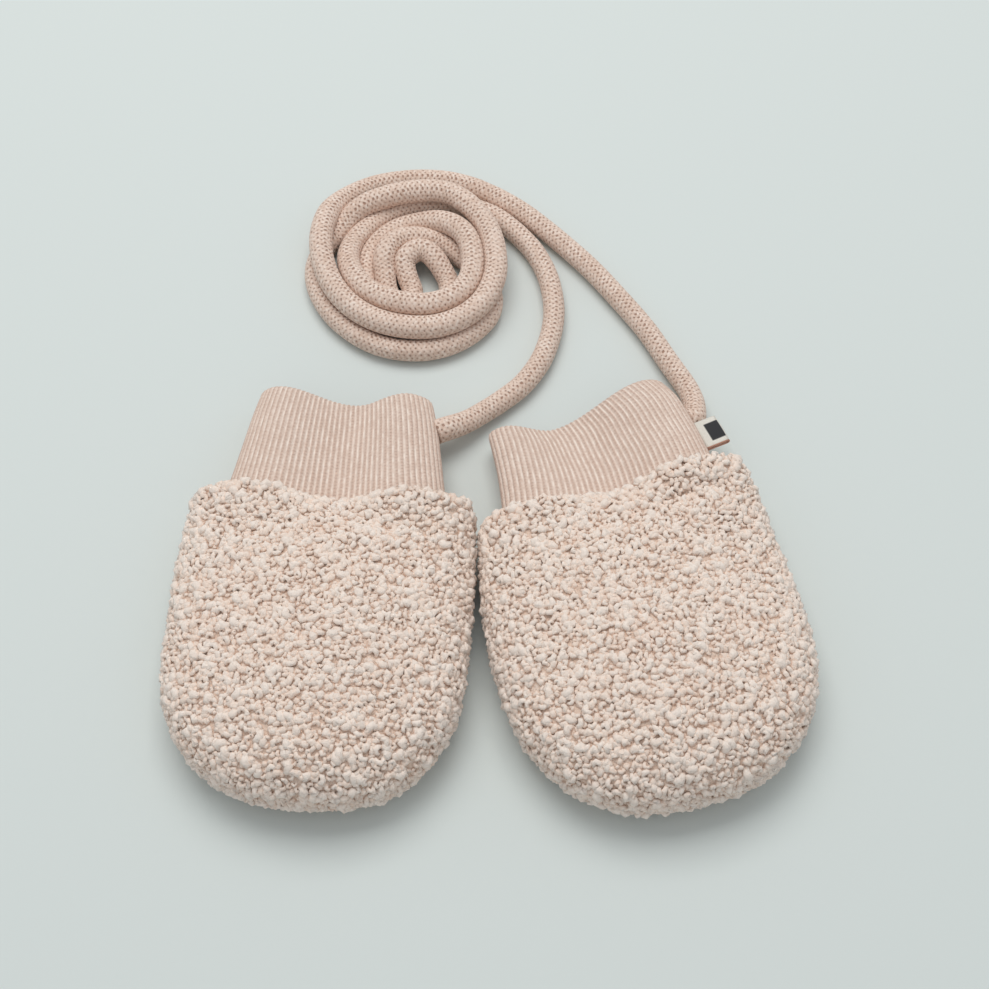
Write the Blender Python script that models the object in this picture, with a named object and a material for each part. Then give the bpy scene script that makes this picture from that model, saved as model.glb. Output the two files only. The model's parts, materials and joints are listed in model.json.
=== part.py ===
"""A pair of baby's teddy-fleece mittens with rib cuffs, joined by a knitted cord.

The pair lies flat on a table, fingertips towards -Y, with the cord coiled behind it.
Metres, +Z up. The origin is on the table, under the middle of the two mittens' box.
Each mitten is sewn from a top and a bottom panel of fleece and a cuff of doubled rib.
"""
import math
from collections import namedtuple

import bmesh
import bpy
from mathutils import Vector

MM = 0.001

# Cloth, in metres
FLEECE_WALL = 6.0 * MM      # backing and pile together
RIB_WALL = 3.0 * MM         # two layers of rib
RIB_DEPTH = 0.5 * MM
RIBS_ROUND = 86             # ribs all round one cuff
RIM_FOLD = 1.2 * MM         # how far the rim's rounded fold reaches
SEAM_GAP = 0.3 * MM
PANEL_START = 0.7           # where a panel's edge begins past the cuff seam, in mm
SIDE_SEAM_HEIGHT = 11.5 * MM

# Cord
CORD_RADIUS = 3.65 * MM
CORD_POINT_STEP = 4.0 * CORD_RADIUS
COIL_CENTRE = Vector((-30.9, 131.6, 0.0)) * MM
COIL_REACH_X = 36.6 * MM
COIL_REACH_Y = 41.8 * MM
COIL_STEPS = 44
# Its turns show as humps: where each one's middle lies, as a share of the reach, and its top
COIL_HUMPS = [(0.90, 7.3 * MM), (0.735, 13.8 * MM), (0.54, 13.8 * MM), (0.36, 9.3 * MM)]
HUMP_HALF_WIDTH = 0.098     # as a share of the reach
HUMP_LEANS = (0.25, 0.75, 1.0, 1.25, 1.75)      # places over a hump, in quarter turns
COIL_FLAT_FROM, COIL_FLAT_TO = 0.29, 0.95       # the ring that rests, as shares of the reach
COIL_EDGE_LIFT = 0.6 * MM

# Label, a folded loop of woven tape
LABEL_REACH = 8.4 * MM
LABEL_WIDTH = 10.4 * MM
LABEL_THICKNESS = 0.5 * MM
LABEL_OPENING = 0.9 * MM
LABEL_ACROSS = 39.1 * MM
LABEL_ALONG = 14.8 * MM
LABEL_HEIGHT = 11.6 * MM
LABEL_TURN = math.radians(10.0)

SIDE_FULLNESS = 0.72        # how round a section's sides are: 1 is an ellipse
FLAT_SHARE = 0.70           # share of the half width that rests flat
TIP_POWER = 2.3             # outline of the fingertip, as a superellipse
TIP_HEIGHT_POWER = 2.9
TIP_FLAT_SHARE = 0.62
SEAM_BOW = 2.4 * MM         # the cuff seam's middle lies this much nearer the fingertip
SEAM_BOW_REACH = 25.0 * MM  # than the places this far to its sides
SEAM_BOW_MEAN = 0.7         # the middle keeps this share of the bow, and the sides go the other way
SEAM_BOW_FADE = 22.0 * MM   # this far from the seam nothing is left of its bow

STEPS_ACROSS = 20
TIP_STEPS = 7

# A row for each place along a mitten, in mm. along runs from the cuff seam to the fingertip.
# left and right are the reaches from the mitten's centre line, and the next three are the
# height of the cloth over the left fold, the sag and the right fold. fullness says how round
# the crown is: 1 is an ellipse, less is fuller. lean turns the cuff's rim.
BodyRow = namedtuple("BodyRow", "along left right left_top middle_top right_top fullness")
CuffRow = namedtuple("CuffRow",
                     "along left right left_top middle_top right_top fullness lean")
# A trough in the top panel: its centre, its half length, half width, depth and turn in degrees
Crease = namedtuple("Crease", "across along half_length half_width depth turn")
# Where the upper cloth's two folds lie, and the sag between them, as shares of the half width,
# and in mm how much further a cuff reaches at its folds than at its sag
Folds = namedtuple("Folds", "left sag right reach")
Section = namedtuple("Section",
                     "centre half seam left_top middle_top right_top floor fullness folds")
Mitten = namedtuple("Mitten", "name place turn tip body cuff rim_folds creases")

BODY_FOLDS = Folds(-0.62, 0.0, 0.62, 0.0)
LEFT_RIM_FOLDS = Folds(-0.90, 0.09, 0.81, 2.8)
RIGHT_RIM_FOLDS = Folds(-0.90, -0.28, 0.85, 3.4)
LEFT_BODY = [
    BodyRow(0.3, 42.4, 40.2, 28.5, 18.5, 29.5, 0.45),
    BodyRow(3.5, 45.6, 43.6, 30.0, 22.0, 30.5, 0.52),
    BodyRow(8.0, 47.0, 44.2, 29.8, 25.2, 30.0, 0.64),
    BodyRow(15.0, 48.0, 44.8, 29.2, 27.5, 29.2, 0.76),
    BodyRow(26.0, 48.6, 45.2, 29.0, 29.0, 29.0, 0.80),
    BodyRow(40.0, 48.8, 44.8, 29.5, 31.0, 29.5, 0.80),
    BodyRow(54.0, 48.6, 44.4, 29.5, 32.0, 29.5, 0.80),
]
RIGHT_BODY = [
    BodyRow(0.3, 36.4, 43.6, 25.5, 18.5, 30.0, 0.45),
    BodyRow(3.5, 40.6, 46.8, 28.5, 22.5, 31.5, 0.52),
    BodyRow(8.0, 42.6, 48.2, 29.0, 25.6, 31.5, 0.64),
    BodyRow(15.0, 44.3, 48.8, 29.0, 28.0, 30.5, 0.76),
    BodyRow(26.0, 46.5, 48.9, 29.0, 29.5, 29.5, 0.80),
    BodyRow(40.0, 48.0, 49.2, 29.5, 31.5, 29.5, 0.80),
    BodyRow(54.0, 48.8, 48.8, 30.0, 32.5, 30.0, 0.80),
]
LEFT_CUFF = [
    CuffRow(0.0, 37.0, 34.4, 22.5, 16.5, 23.5, 0.80, 0.0),
    CuffRow(10.0, 35.2, 32.8, 22.2, 15.2, 22.5, 0.80, 0.0),
    CuffRow(20.0, 33.6, 31.2, 21.6, 14.2, 21.3, 0.80, 0.0),
    CuffRow(31.0, 31.8, 29.2, 20.9, 13.4, 20.2, 0.80, -0.1),
    CuffRow(40.5, 29.8, 26.9, 19.9, 12.2, 18.8, 0.80, -0.2),
]
RIGHT_CUFF = [
    CuffRow(0.0, 31.8, 39.6, 20.5, 16.5, 24.5, 0.80, 0.0),
    CuffRow(10.0, 30.2, 38.8, 17.8, 13.8, 23.4, 0.70, 0.3),
    CuffRow(19.0, 28.9, 37.8, 16.4, 11.2, 21.6, 0.60, 0.6),
    CuffRow(28.0, 28.2, 36.0, 15.0, 9.2, 20.6, 0.53, 1.0),
    CuffRow(35.2, 27.8, 32.4, 13.8, 7.6, 19.2, 0.50, 1.5),
]
LEFT_CREASES = [
    Crease(12.0, 12.5, 17.0, 4.2, 1.8, 8.0),
    Crease(-18.0, 16.0, 12.0, 4.0, 0.9, -10.0),
]
RIGHT_CREASES = [
    Crease(24.0, 12.5, 16.0, 3.6, 3.0, -4.0),
    Crease(-6.0, 15.5, 17.0, 3.8, 1.4, 4.0),
    Crease(37.0, 26.0, 5.0, 2.6, 1.2, 60.0),
]
LEFT = Mitten("left", Vector((-47.85, 27.6, 0.0)) * MM, math.radians(-3.0), 101.5,
              LEFT_BODY, LEFT_CUFF, LEFT_RIM_FOLDS, LEFT_CREASES)
RIGHT = Mitten("right", Vector((35.55, 29.6, 0.0)) * MM, math.radians(15.0), 105.5,
               RIGHT_BODY, RIGHT_CUFF, RIGHT_RIM_FOLDS, RIGHT_CREASES)

# The cord's own way, in mm on the table: from the left cuff to the coil's right side
LEFT_ROUTE = [
    (-15.1, 58.3, 9.2), (-8.4, 62.6, 6.6), (-2.5, 67.6, 4.6),
    (4.6, 73.5, 3.75), (11.3, 79.8, 3.7), (17.2, 88.9, 3.7), (20.7, 98.8, 3.7),
    (22.2, 108.0, 3.7), (21.9, 116.6, 3.7), (20.1, 125.7, 3.7), (16.6, 134.2, 3.7),
    (12.6, 140.4, 3.7), (7.1, 146.8, 3.7),
]
# and from the right cuff's side, round the outside, to the coil's back
RIGHT_ROUTE = [
    (68.5, 64.3, 7.6), (68.3, 69.2, 6.2), (67.8, 73.7, 4.9),
    (66.0, 79.2, 4.0), (60.4, 89.7, 3.7), (53.8, 102.2, 3.7), (45.3, 114.9, 3.7),
    (35.9, 127.8, 3.7), (26.7, 138.4, 3.7), (16.9, 148.6, 3.7), (10.4, 154.5, 3.7),
    (3.7, 159.4, 3.7), (-0.8, 162.1, 3.7),
]


def remove_all_objects():
    """Empty the scene."""
    for thing in list(bpy.data.objects):
        bpy.data.objects.remove(thing, do_unlink=True)


def make_material(name, colour, roughness):
    """A plain cloth material."""
    material = bpy.data.materials.new(name)
    material.use_nodes = True
    shader = material.node_tree.nodes["Principled BSDF"]
    shader.inputs["Base Color"].default_value = (*colour, 1.0)
    shader.inputs["Roughness"].default_value = roughness
    shader.inputs["Metallic"].default_value = 0.0
    return material


def add_solid(name, mesh_builder, material):
    """Turn a finished bmesh into a named object with its faces pointing out."""
    bmesh.ops.recalc_face_normals(mesh_builder, faces=mesh_builder.faces)
    mesh = bpy.data.meshes.new(name)
    mesh_builder.to_mesh(mesh)
    mesh_builder.free()
    mesh.shade_smooth()
    mesh.set_sharp_from_angle(angle=math.radians(40.0))
    mesh.materials.append(material)
    solid = bpy.data.objects.new(name, mesh)
    bpy.context.scene.collection.objects.link(solid)
    return solid


def signed_power(value, power):
    """Raise a value's size to a power and keep its sign."""
    return math.copysign(abs(value) ** power, value)


def row_at(rows, along):
    """The row at any place along, on a smooth curve through the table's rows."""
    spots = [row.along for row in rows]
    k = max(1, min(len(rows) - 1, sum(spot < along for spot in spots)))
    before, after = rows[max(k - 2, 0)], rows[min(k + 1, len(rows) - 1)]
    low, high = rows[k - 1], rows[k]
    span = high.along - low.along
    f = (along - low.along) / span
    values = []
    for index in range(len(low)):
        slope_low = (high[index] - before[index]) / (high.along - before.along) * span
        slope_high = (after[index] - low[index]) / (after.along - low.along) * span
        rise = high[index] - low[index]
        values.append(low[index] + f * slope_low + f * f * (3 * rise - 2 * slope_low - slope_high)
                      + f ** 3 * (slope_low + slope_high - 2 * rise))
    return type(low)(*values)


def section_of(row, seam_height, folds=BODY_FOLDS):
    """The cross-section that a table row describes, in metres."""
    return Section(
        centre=(row.right - row.left) / 2.0 * MM,
        half=(row.right + row.left) / 2.0 * MM,
        seam=seam_height,
        left_top=row.left_top * MM,
        middle_top=row.middle_top * MM,
        right_top=row.right_top * MM,
        floor=0.0,
        fullness=row.fullness,
        folds=folds,
    )


def fold_share(folds, side):
    """0 at the sag between the two folds, rising smoothly to 1 at each fold."""
    span = folds.right - folds.sag if side > folds.sag else folds.sag - folds.left
    share = min(abs(side - folds.sag) / span, 1.0)
    return share * share * (3.0 - 2.0 * share)


def crown_height(section, side):
    """Height of the upper cloth: folds at the two sides, a sag between them."""
    fold = section.right_top if side > section.folds.sag else section.left_top
    return section.middle_top + (fold - section.middle_top) * fold_share(section.folds, side)


def seam_bow(across, distance):
    """How far a place near the cuff seam is moved towards the fingertip."""
    aside = min(abs(across) / SEAM_BOW_REACH, 1.0)
    aside = aside * aside * (3.0 - 2.0 * aside)
    fade = max(0.0, 1.0 - distance / SEAM_BOW_FADE) ** 2
    return SEAM_BOW * (SEAM_BOW_MEAN - aside) * fade


def flat_underside(side):
    """1 where the underside rests, falling to 0 at the side seam."""
    beyond = max(0.0, (abs(side) - FLAT_SHARE) / (1.0 - FLAT_SHARE))
    return math.sqrt(max(0.0, 1.0 - beyond * beyond))


def section_point(section, turn, inset):
    """A point of a section: turn 0 is the right seam, a half turn the left seam."""
    side = signed_power(math.cos(turn), SIDE_FULLNESS)
    across = section.centre + (section.half - inset) * side
    if math.sin(turn) >= 0.0:
        rise = crown_height(section, side) - inset - section.seam
        up = section.seam + rise * math.sin(turn) ** section.fullness
    else:
        up = section.seam - (section.seam - section.floor - inset) * flat_underside(side)
    return across, up, side


def to_table(mitten, across, along, up):
    """From a mitten's own measures to the table. along counts towards the rim."""
    c, s = math.cos(mitten.turn), math.sin(mitten.turn)
    return mitten.place + Vector((across * c - along * s, across * s + along * c, up))


def crease_depth(creases, across, toward_tip):
    """How far the creases lower the top panel at a place."""
    depth = 0.0
    for crease in creases:
        turn = math.radians(crease.turn)
        dx = across - crease.across * MM
        dy = toward_tip - crease.along * MM
        length_share = (dx * math.cos(turn) + dy * math.sin(turn)) / (crease.half_length * MM)
        width_share = (dy * math.cos(turn) - dx * math.sin(turn)) / (crease.half_width * MM)
        depth += crease.depth * MM * math.exp(-length_share ** 2 - width_share ** 2)
    return depth


def body_stations(mitten, inset):
    """Sections from the cuff seam to the last one before the fingertip's pole."""
    places = [PANEL_START, 2.2, 4.5, 7.5, 10.5, 13.5, 17.0, 22.0, 29.0, 37.0, 45.5, 54.0]
    stations = [(place * MM, section_of(row_at(mitten.body, place), SIDE_SEAM_HEIGHT))
                for place in places]
    start = places[-1]
    full = section_of(mitten.body[-1], SIDE_SEAM_HEIGHT)
    for step in range(1, TIP_STEPS):
        lean = 0.5 * math.pi * step / TIP_STEPS
        share = math.sin(lean) ** (2.0 / TIP_POWER)
        narrow = math.cos(lean) ** (2.0 / TIP_POWER)
        low = (1.0 - share ** TIP_HEIGHT_POWER) ** (1.0 / TIP_HEIGHT_POWER)
        beyond = max(0.0, (share - TIP_FLAT_SHARE) / (1.0 - TIP_FLAT_SHARE))
        lifted = 1.0 - math.sqrt(1.0 - beyond * beyond)
        place = start * MM + ((mitten.tip - start) * MM - inset) * share
        seam = full.seam
        room = seam - full.floor - inset
        stations.append((place, Section(
            centre=full.centre * narrow,
            half=(full.half - inset) * narrow + inset,
            seam=seam,
            left_top=seam + (full.left_top - inset - seam) * low + inset,
            middle_top=seam + (full.middle_top - inset - seam) * low + inset,
            right_top=seam + (full.right_top - inset - seam) * low + inset,
            floor=full.floor + room * lifted,
            fullness=full.fullness,
            folds=full.folds,
        )))
    return stations


def panel_surface(mesh_builder, mitten, upper, inset):
    """One face of a fleece panel: a grid of points, and the pole at the fingertip."""
    first = 0.0 if upper else math.pi
    lift = SEAM_GAP / 2.0 if upper else -SEAM_GAP / 2.0
    grid = []
    for toward_tip, section in body_stations(mitten, inset):
        line = []
        for step in range(STEPS_ACROSS + 1):
            turn = first + math.pi * step / STEPS_ACROSS
            at_seam = step in (0, STEPS_ACROSS)
            across, up, side = section_point(section, turn, inset)
            if at_seam:
                up = section.seam
            if upper:
                up -= crease_depth(mitten.creases, across, toward_tip) * (1.0 - side ** 4)
            up = max(up + lift, section.seam + lift) if upper else min(up, section.seam + lift)
            along = -toward_tip - seam_bow(across, toward_tip)
            line.append(mesh_builder.verts.new(to_table(mitten, across, along, up)))
        grid.append(line)
    pole = mesh_builder.verts.new(
        to_table(mitten, 0.0, -(mitten.tip * MM - inset), SIDE_SEAM_HEIGHT + lift))
    return grid, pole


def skin(mesh_builder, grid, pole):
    """Fill a surface's grid with quads and its fingertip with triangles."""
    for near, far in zip(grid, grid[1:]):
        for step in range(len(near) - 1):
            mesh_builder.faces.new((near[step], near[step + 1], far[step + 1], far[step]))
    for step in range(len(grid[-1]) - 1):
        mesh_builder.faces.new((grid[-1][step], grid[-1][step + 1], pole))


def make_panel(mitten, upper, material):
    """A fleece panel: outer and inner surface, joined at the side seams and the cuff seam."""
    mesh_builder = bmesh.new()
    outer, outer_pole = panel_surface(mesh_builder, mitten, upper, 0.0)
    inner, inner_pole = panel_surface(mesh_builder, mitten, upper, FLEECE_WALL)
    skin(mesh_builder, outer, outer_pole)
    skin(mesh_builder, inner, inner_pole)
    for edge in (0, STEPS_ACROSS):
        outside = [line[edge] for line in outer] + [outer_pole]
        inside = [line[edge] for line in inner] + [inner_pole]
        for k in range(len(outside) - 1):
            mesh_builder.faces.new((outside[k], outside[k + 1], inside[k + 1], inside[k]))
    for step in range(STEPS_ACROSS):
        mesh_builder.faces.new(
            (outer[0][step], outer[0][step + 1], inner[0][step + 1], inner[0][step]))
    name = f"{mitten.name}_{'top' if upper else 'bottom'}_panel"
    return add_solid(name, mesh_builder, material)


def even_turns(section, count):
    """Turns that part a section's outline into equal lengths, from the left fold."""
    fine = 720
    turns = [math.pi + 2.0 * math.pi * k / fine for k in range(fine + 1)]
    points = [Vector(section_point(section, turn % (2.0 * math.pi), 0.0)[:2]) for turn in turns]
    lengths = [0.0]
    for here, there in zip(points, points[1:]):
        lengths.append(lengths[-1] + (there - here).length)
    found, k = [], 0
    for index in range(count):
        wanted = lengths[-1] * index / count
        while lengths[k + 1] < wanted:
            k += 1
        share = (wanted - lengths[k]) / (lengths[k + 1] - lengths[k])
        found.append((turns[k] + share * (turns[k + 1] - turns[k])) % (2.0 * math.pi))
    return found


def cuff_folds(mitten, along):
    """A cuff's folds, which turn from the body's to the rim's."""
    share = along / (mitten.cuff[-1].along * MM)
    return Folds(*(body + (rim - body) * share
                   for body, rim in zip(BODY_FOLDS, mitten.rim_folds)))


def cuff_ring(mesh_builder, mitten, along, insets, count):
    """A ring of a cuff's points; insets are taken in turn, crest and valley."""
    row = row_at(mitten.cuff, along / MM)
    folds = cuff_folds(mitten, along)
    section = section_of(row, 0.25 * (row.left_top + row.right_top) * MM, folds)
    turns = even_turns(section, RIBS_ROUND * 2)[::(RIBS_ROUND * 2) // count]
    ring = []
    for index, turn in enumerate(turns):
        across, up, side = section_point(section, turn, insets[index % len(insets)])
        reach = row.lean * side + folds.reach * (fold_share(folds, side) - 0.5)
        toward_rim = along + reach * MM - seam_bow(across, along)
        ring.append(mesh_builder.verts.new(to_table(mitten, across, toward_rim, up)))
    return ring


def bridge(mesh_builder, ring, following):
    """Join two closed rings. The second may have half the points of the first."""
    count, ratio = len(following), len(ring) // len(following)
    for k in range(count):
        after = (k + 1) % count
        if ratio == 1:
            mesh_builder.faces.new((ring[k], ring[after], following[after], following[k]))
            continue
        start, middle, end = ring[2 * k], ring[2 * k + 1], ring[2 * after]
        mesh_builder.faces.new((start, middle, following[k]))
        mesh_builder.faces.new((middle, following[after], following[k]))
        mesh_builder.faces.new((middle, end, following[after]))


def make_cuff(mitten, material):
    """A tube of doubled rib: ribs outside, plain inside, a rounded fold at the rim."""
    mesh_builder = bmesh.new()
    rim = mitten.cuff[-1].along * MM
    crest_and_valley = (0.0, RIB_DEPTH)
    shared = [row.along * MM for row in mitten.cuff[:-1]] + [rim - RIM_FOLD]
    outer = [cuff_ring(mesh_builder, mitten, along, crest_and_valley, 2 * RIBS_ROUND)
             for along in shared]
    outer.append(cuff_ring(mesh_builder, mitten, rim, (RIB_WALL * 0.33,), 2 * RIBS_ROUND))
    inner = [cuff_ring(mesh_builder, mitten, along, (RIB_WALL,), RIBS_ROUND)
             for along in shared]
    inner.append(cuff_ring(mesh_builder, mitten, rim, (RIB_WALL * 0.67,), RIBS_ROUND))
    rings = outer + inner[::-1]
    for ring, following in zip(rings, rings[1:]):
        bridge(mesh_builder, ring, following)
    bridge(mesh_builder, outer[0], inner[0])
    return add_solid(f"{mitten.name}_cuff", mesh_builder, material)


def make_label(mitten, material):
    """A woven tape folded in a loop, its two ends at the cuff's side."""
    mesh_builder = bmesh.new()
    outline = []
    bend_steps = 6
    for thickness, direction in ((LABEL_THICKNESS, 1), (0.0, -1)):
        half_gap = LABEL_OPENING / 2.0 + thickness
        bend_start = LABEL_REACH - LABEL_THICKNESS - LABEL_OPENING / 2.0
        side = [(0.0, half_gap)]
        for step in range(bend_steps + 1):
            turn = 0.5 * math.pi - math.pi * step / bend_steps
            side.append((bend_start + half_gap * math.cos(turn), half_gap * math.sin(turn)))
        side.append((0.0, -half_gap))
        outline.extend(side[::direction])
    ends = []
    for edge in (-0.5, 0.5):
        ring = []
        for out, up in outline:
            across = out * math.cos(LABEL_TURN) - edge * LABEL_WIDTH * math.sin(LABEL_TURN)
            along = out * math.sin(LABEL_TURN) + edge * LABEL_WIDTH * math.cos(LABEL_TURN)
            ring.append(mesh_builder.verts.new(to_table(
                mitten, LABEL_ACROSS + across, LABEL_ALONG + along, LABEL_HEIGHT + up)))
        ends.append(ring)
    bridge(mesh_builder, ends[0], ends[1])
    layer = len(outline) // 2
    for ring in ends:
        for k in range(layer - 1):
            outside, inside = k, len(outline) - 1 - k
            mesh_builder.faces.new((ring[outside], ring[outside + 1],
                                    ring[inside - 1], ring[inside]))
    return add_solid("side_label", mesh_builder, material)


def smooth_route(points, step):
    """Points about a step apart on a smooth curve through the route's own points."""
    route = [Vector(point) * MM for point in points]
    extended = [2 * route[0] - route[1]] + route + [2 * route[-1] - route[-2]]
    fine = []
    for k in range(1, len(extended) - 2):
        a, b, c, d = extended[k - 1:k + 3]
        for part in range(12):
            f = part / 12.0
            fine.append(0.5 * (2 * b + (c - a) * f + (2 * a - 5 * b + 4 * c - d) * f * f
                               + (3 * b - a - 3 * c + d) * f ** 3))
    fine.append(route[-1])
    lengths = [0.0]
    for here, there in zip(fine, fine[1:]):
        lengths.append(lengths[-1] + (there - here).length)
    count = max(2, round(lengths[-1] / step))
    chosen, k = [], 0
    for index in range(count + 1):
        wanted = lengths[-1] * index / count
        while k < len(fine) - 2 and lengths[k + 1] < wanted:
            k += 1
        share = (wanted - lengths[k]) / (lengths[k + 1] - lengths[k])
        chosen.append(fine[k].lerp(fine[k + 1], share))
    return chosen


def make_cord(name, points, material):
    """A stretch of cord as a bevelled curve with its ends closed."""
    curve = bpy.data.curves.new(name, "CURVE")
    curve.dimensions = "3D"
    curve.bevel_depth = CORD_RADIUS
    curve.bevel_resolution = 3
    curve.use_fill_caps = True
    route = smooth_route(points, CORD_POINT_STEP)
    spline = curve.splines.new("POLY")
    spline.points.add(len(route) - 1)
    for spot, place in zip(spline.points, route):
        spot.co = (*place, 1.0)
    curve.materials.append(material)
    cord = bpy.data.objects.new(name, curve)
    bpy.context.scene.collection.objects.link(cord)
    return cord


def coil_profile():
    """Half section of the coil: share of its reach, and height."""
    outermost = COIL_HUMPS[0][0] + HUMP_HALF_WIDTH
    innermost = COIL_HUMPS[-1][0] - HUMP_HALF_WIDTH
    profile = [(outermost, COIL_EDGE_LIFT)]
    for centre, top in COIL_HUMPS:
        for lean in HUMP_LEANS:
            turn = 0.5 * math.pi * lean
            share = centre + HUMP_HALF_WIDTH * math.cos(turn)
            profile.append((share, top - CORD_RADIUS * (1.0 - math.sin(turn))))
    profile.append((innermost, COIL_EDGE_LIFT))
    profile.append((COIL_FLAT_FROM, 0.0))
    profile.append((COIL_FLAT_TO, 0.0))
    return profile


def make_coil(material):
    """The coiled cord's outer shape: a turned ring, drawn out to an oval."""
    mesh_builder = bmesh.new()
    rings = []
    for step in range(COIL_STEPS):
        turn = 2.0 * math.pi * step / COIL_STEPS
        rings.append([mesh_builder.verts.new(COIL_CENTRE + Vector((
            COIL_REACH_X * share * math.cos(turn), COIL_REACH_Y * share * math.sin(turn), up)))
            for share, up in coil_profile()])
    for step, ring in enumerate(rings):
        bridge(mesh_builder, ring, rings[(step + 1) % COIL_STEPS])
    return add_solid("cord_coil", mesh_builder, material)


def main():
    remove_all_objects()
    fleece = make_material("fleece", (0.76, 0.62, 0.54), 0.95)
    rib = make_material("rib_knit", (0.70, 0.52, 0.43), 0.90)
    cord = make_material("cord_knit", (0.68, 0.50, 0.42), 0.90)
    tape = make_material("label_tape", (0.86, 0.82, 0.74), 0.80)
    for mitten in (LEFT, RIGHT):
        make_panel(mitten, True, fleece)
        make_panel(mitten, False, fleece)
        make_cuff(mitten, rib)
    make_label(RIGHT, tape)
    make_cord("cord_left", LEFT_ROUTE, cord)
    make_cord("cord_right", RIGHT_ROUTE, cord)
    make_coil(cord)


main()
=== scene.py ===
"""Looks of a pair of baby's teddy-fleece mittens with rib cuffs, joined by a knitted cord.

The pair lies flat on a pale table, fingertips towards -Y, with the cord coiled behind it.
Metres, +Z up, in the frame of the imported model. Lengths in the tables are in millimetres.
"""
import json
import math
import random
from collections import namedtuple

import bmesh
import bpy
import numpy as np
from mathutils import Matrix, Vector

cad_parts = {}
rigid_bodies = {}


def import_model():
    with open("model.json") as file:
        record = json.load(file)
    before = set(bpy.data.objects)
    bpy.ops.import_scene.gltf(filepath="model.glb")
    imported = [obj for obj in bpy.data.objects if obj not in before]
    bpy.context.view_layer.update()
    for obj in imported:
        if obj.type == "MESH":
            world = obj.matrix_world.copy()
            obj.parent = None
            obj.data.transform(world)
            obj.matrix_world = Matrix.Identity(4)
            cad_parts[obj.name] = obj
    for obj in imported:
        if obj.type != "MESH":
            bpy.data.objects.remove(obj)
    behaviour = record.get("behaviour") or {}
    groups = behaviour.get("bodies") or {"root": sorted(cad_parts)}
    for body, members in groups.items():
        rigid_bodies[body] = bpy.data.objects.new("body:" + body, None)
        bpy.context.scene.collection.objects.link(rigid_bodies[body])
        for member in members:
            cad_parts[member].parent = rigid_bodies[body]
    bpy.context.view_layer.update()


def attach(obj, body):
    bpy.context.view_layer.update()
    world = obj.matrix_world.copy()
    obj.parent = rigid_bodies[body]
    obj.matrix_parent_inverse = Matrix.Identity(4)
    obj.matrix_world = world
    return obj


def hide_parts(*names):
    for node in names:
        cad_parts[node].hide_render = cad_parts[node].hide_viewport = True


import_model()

MM = 0.001

# Camera, as the photograph was taken: 60 degrees above the table, level, looking along +Y
CAMERA_AIM = Vector((1.7, 39.0, 0.0)) * MM
CAMERA_ELEVATION = math.radians(60.0)
CAMERA_DISTANCE = 585.5 * MM
CAMERA_LENS = 65.0          # mm, on a 36 mm sensor

# Cloth, as in the solids
FLEECE_WALL = 6.0 * MM
PILE_DEPTH = 1.4 * MM       # the curls stand this far out of the knitted backing
ROOT_DEPTH = 0.7 * MM       # and their roots lie this far inside it
BACKING = 1.4 * MM          # how thick the knitted backing is
RIB_WALL = 3.0 * MM
RIB_DEPTH = 0.5 * MM
RIBS_ROUND = 86
RIM_FOLD = 1.2 * MM
SEAM_GAP = 0.3 * MM
PANEL_START = 0.7           # where a panel's edge begins past the cuff seam, in mm
SIDE_SEAM_HEIGHT = 11.5 * MM
SIDE_FULLNESS = 0.72
FLAT_SHARE = 0.70
TIP_POWER = 2.3
TIP_HEIGHT_POWER = 2.9
TIP_FLAT_SHARE = 0.62
SEAM_BOW = 2.4 * MM         # the cuff seam's middle lies this much nearer the fingertip
SEAM_BOW_REACH = 25.0 * MM  # than the places this far to its sides
SEAM_BOW_MEAN = 0.7         # the middle keeps this share of the bow, and the sides go the other way
SEAM_BOW_FADE = 22.0 * MM   # this far from the seam nothing is left of its bow

# Cord
CORD_RADIUS = 3.7 * MM
CORD_WALES = 18             # columns of stitches round the cord
CORD_ROW = 1.8 * MM         # height of a stitch along the cord
STITCH_POINTS = 3           # a stitch has this many points of the mesh each way
STITCH_HOLE_DEPTH = 0.3 * MM
PRESSED_APART = 7.1 * MM    # strands pressed together stay this far apart, middle to middle
EASING_ROUNDS = 150
EASING_SHARE = 0.6          # of an overlap that one round takes away
HELD_POINTS = 6             # at each end, which the easing leaves where they are
NEIGHBOUR_DIAMETERS = 3.0   # nearer than this along the cord, two places are the same strand
CORD_SWELL = 0.35 * MM      # the coil's upper turns are this much thicker

# Pile: each lock is a rounded curl, thick, or thin and standing higher among the thick ones
THICK_KINDS = 7
THIN_KINDS = 7
CURL_SIDES = 5
CURL_SEGMENTS = 4
TOP_LOCK_SPACING = 1.38 * MM
BOTTOM_LOCK_SPACING = 1.62 * MM
LOCK_LENGTH = (2.4, 3.6)    # mm
THICK_RISE = (1.1, 1.6)
THIN_RISE = (1.5, 2.1)
THICK_RADIUS = (0.95, 1.25)
THIN_RADIUS = (0.58, 0.78)
LOCK_BEND = (150.0, 330.0)  # degrees
FIRST_LOCK_SEED = 20
LOCK_SUNK = 0.35 * MM       # a lock's arc is set this much lower than the place it grows from
LOCK_LOW = 0.2              # mm below that place, where its height attribute is 0
LOCK_SHADE_SPAN = 2.2       # mm from there up to where it is 1
BACKING_STEP = 2.4          # mm between the backing's rows
ROOT_STEP = 1.8             # mm between the rows that the locks grow from
PRESSED_BELOW = 1.6 * MM    # pile under this height is squashed by the table
MOST_LOCKS = 2500000.0      # to a square metre, before their spacing thins them
SEAM_TURN_ROWS = 3          # rows of the backing over which it is turned in to the cuff
BARE_ROWS = 1               # rows of the panel next to the cuff seam with no roots
TUFT_REACH = 7.0            # mm from the cuff seam over which the locks are longer

# The panels' meshes
PANEL_STEPS_ACROSS = 44
PANEL_TIP_STEPS = 14

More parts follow.
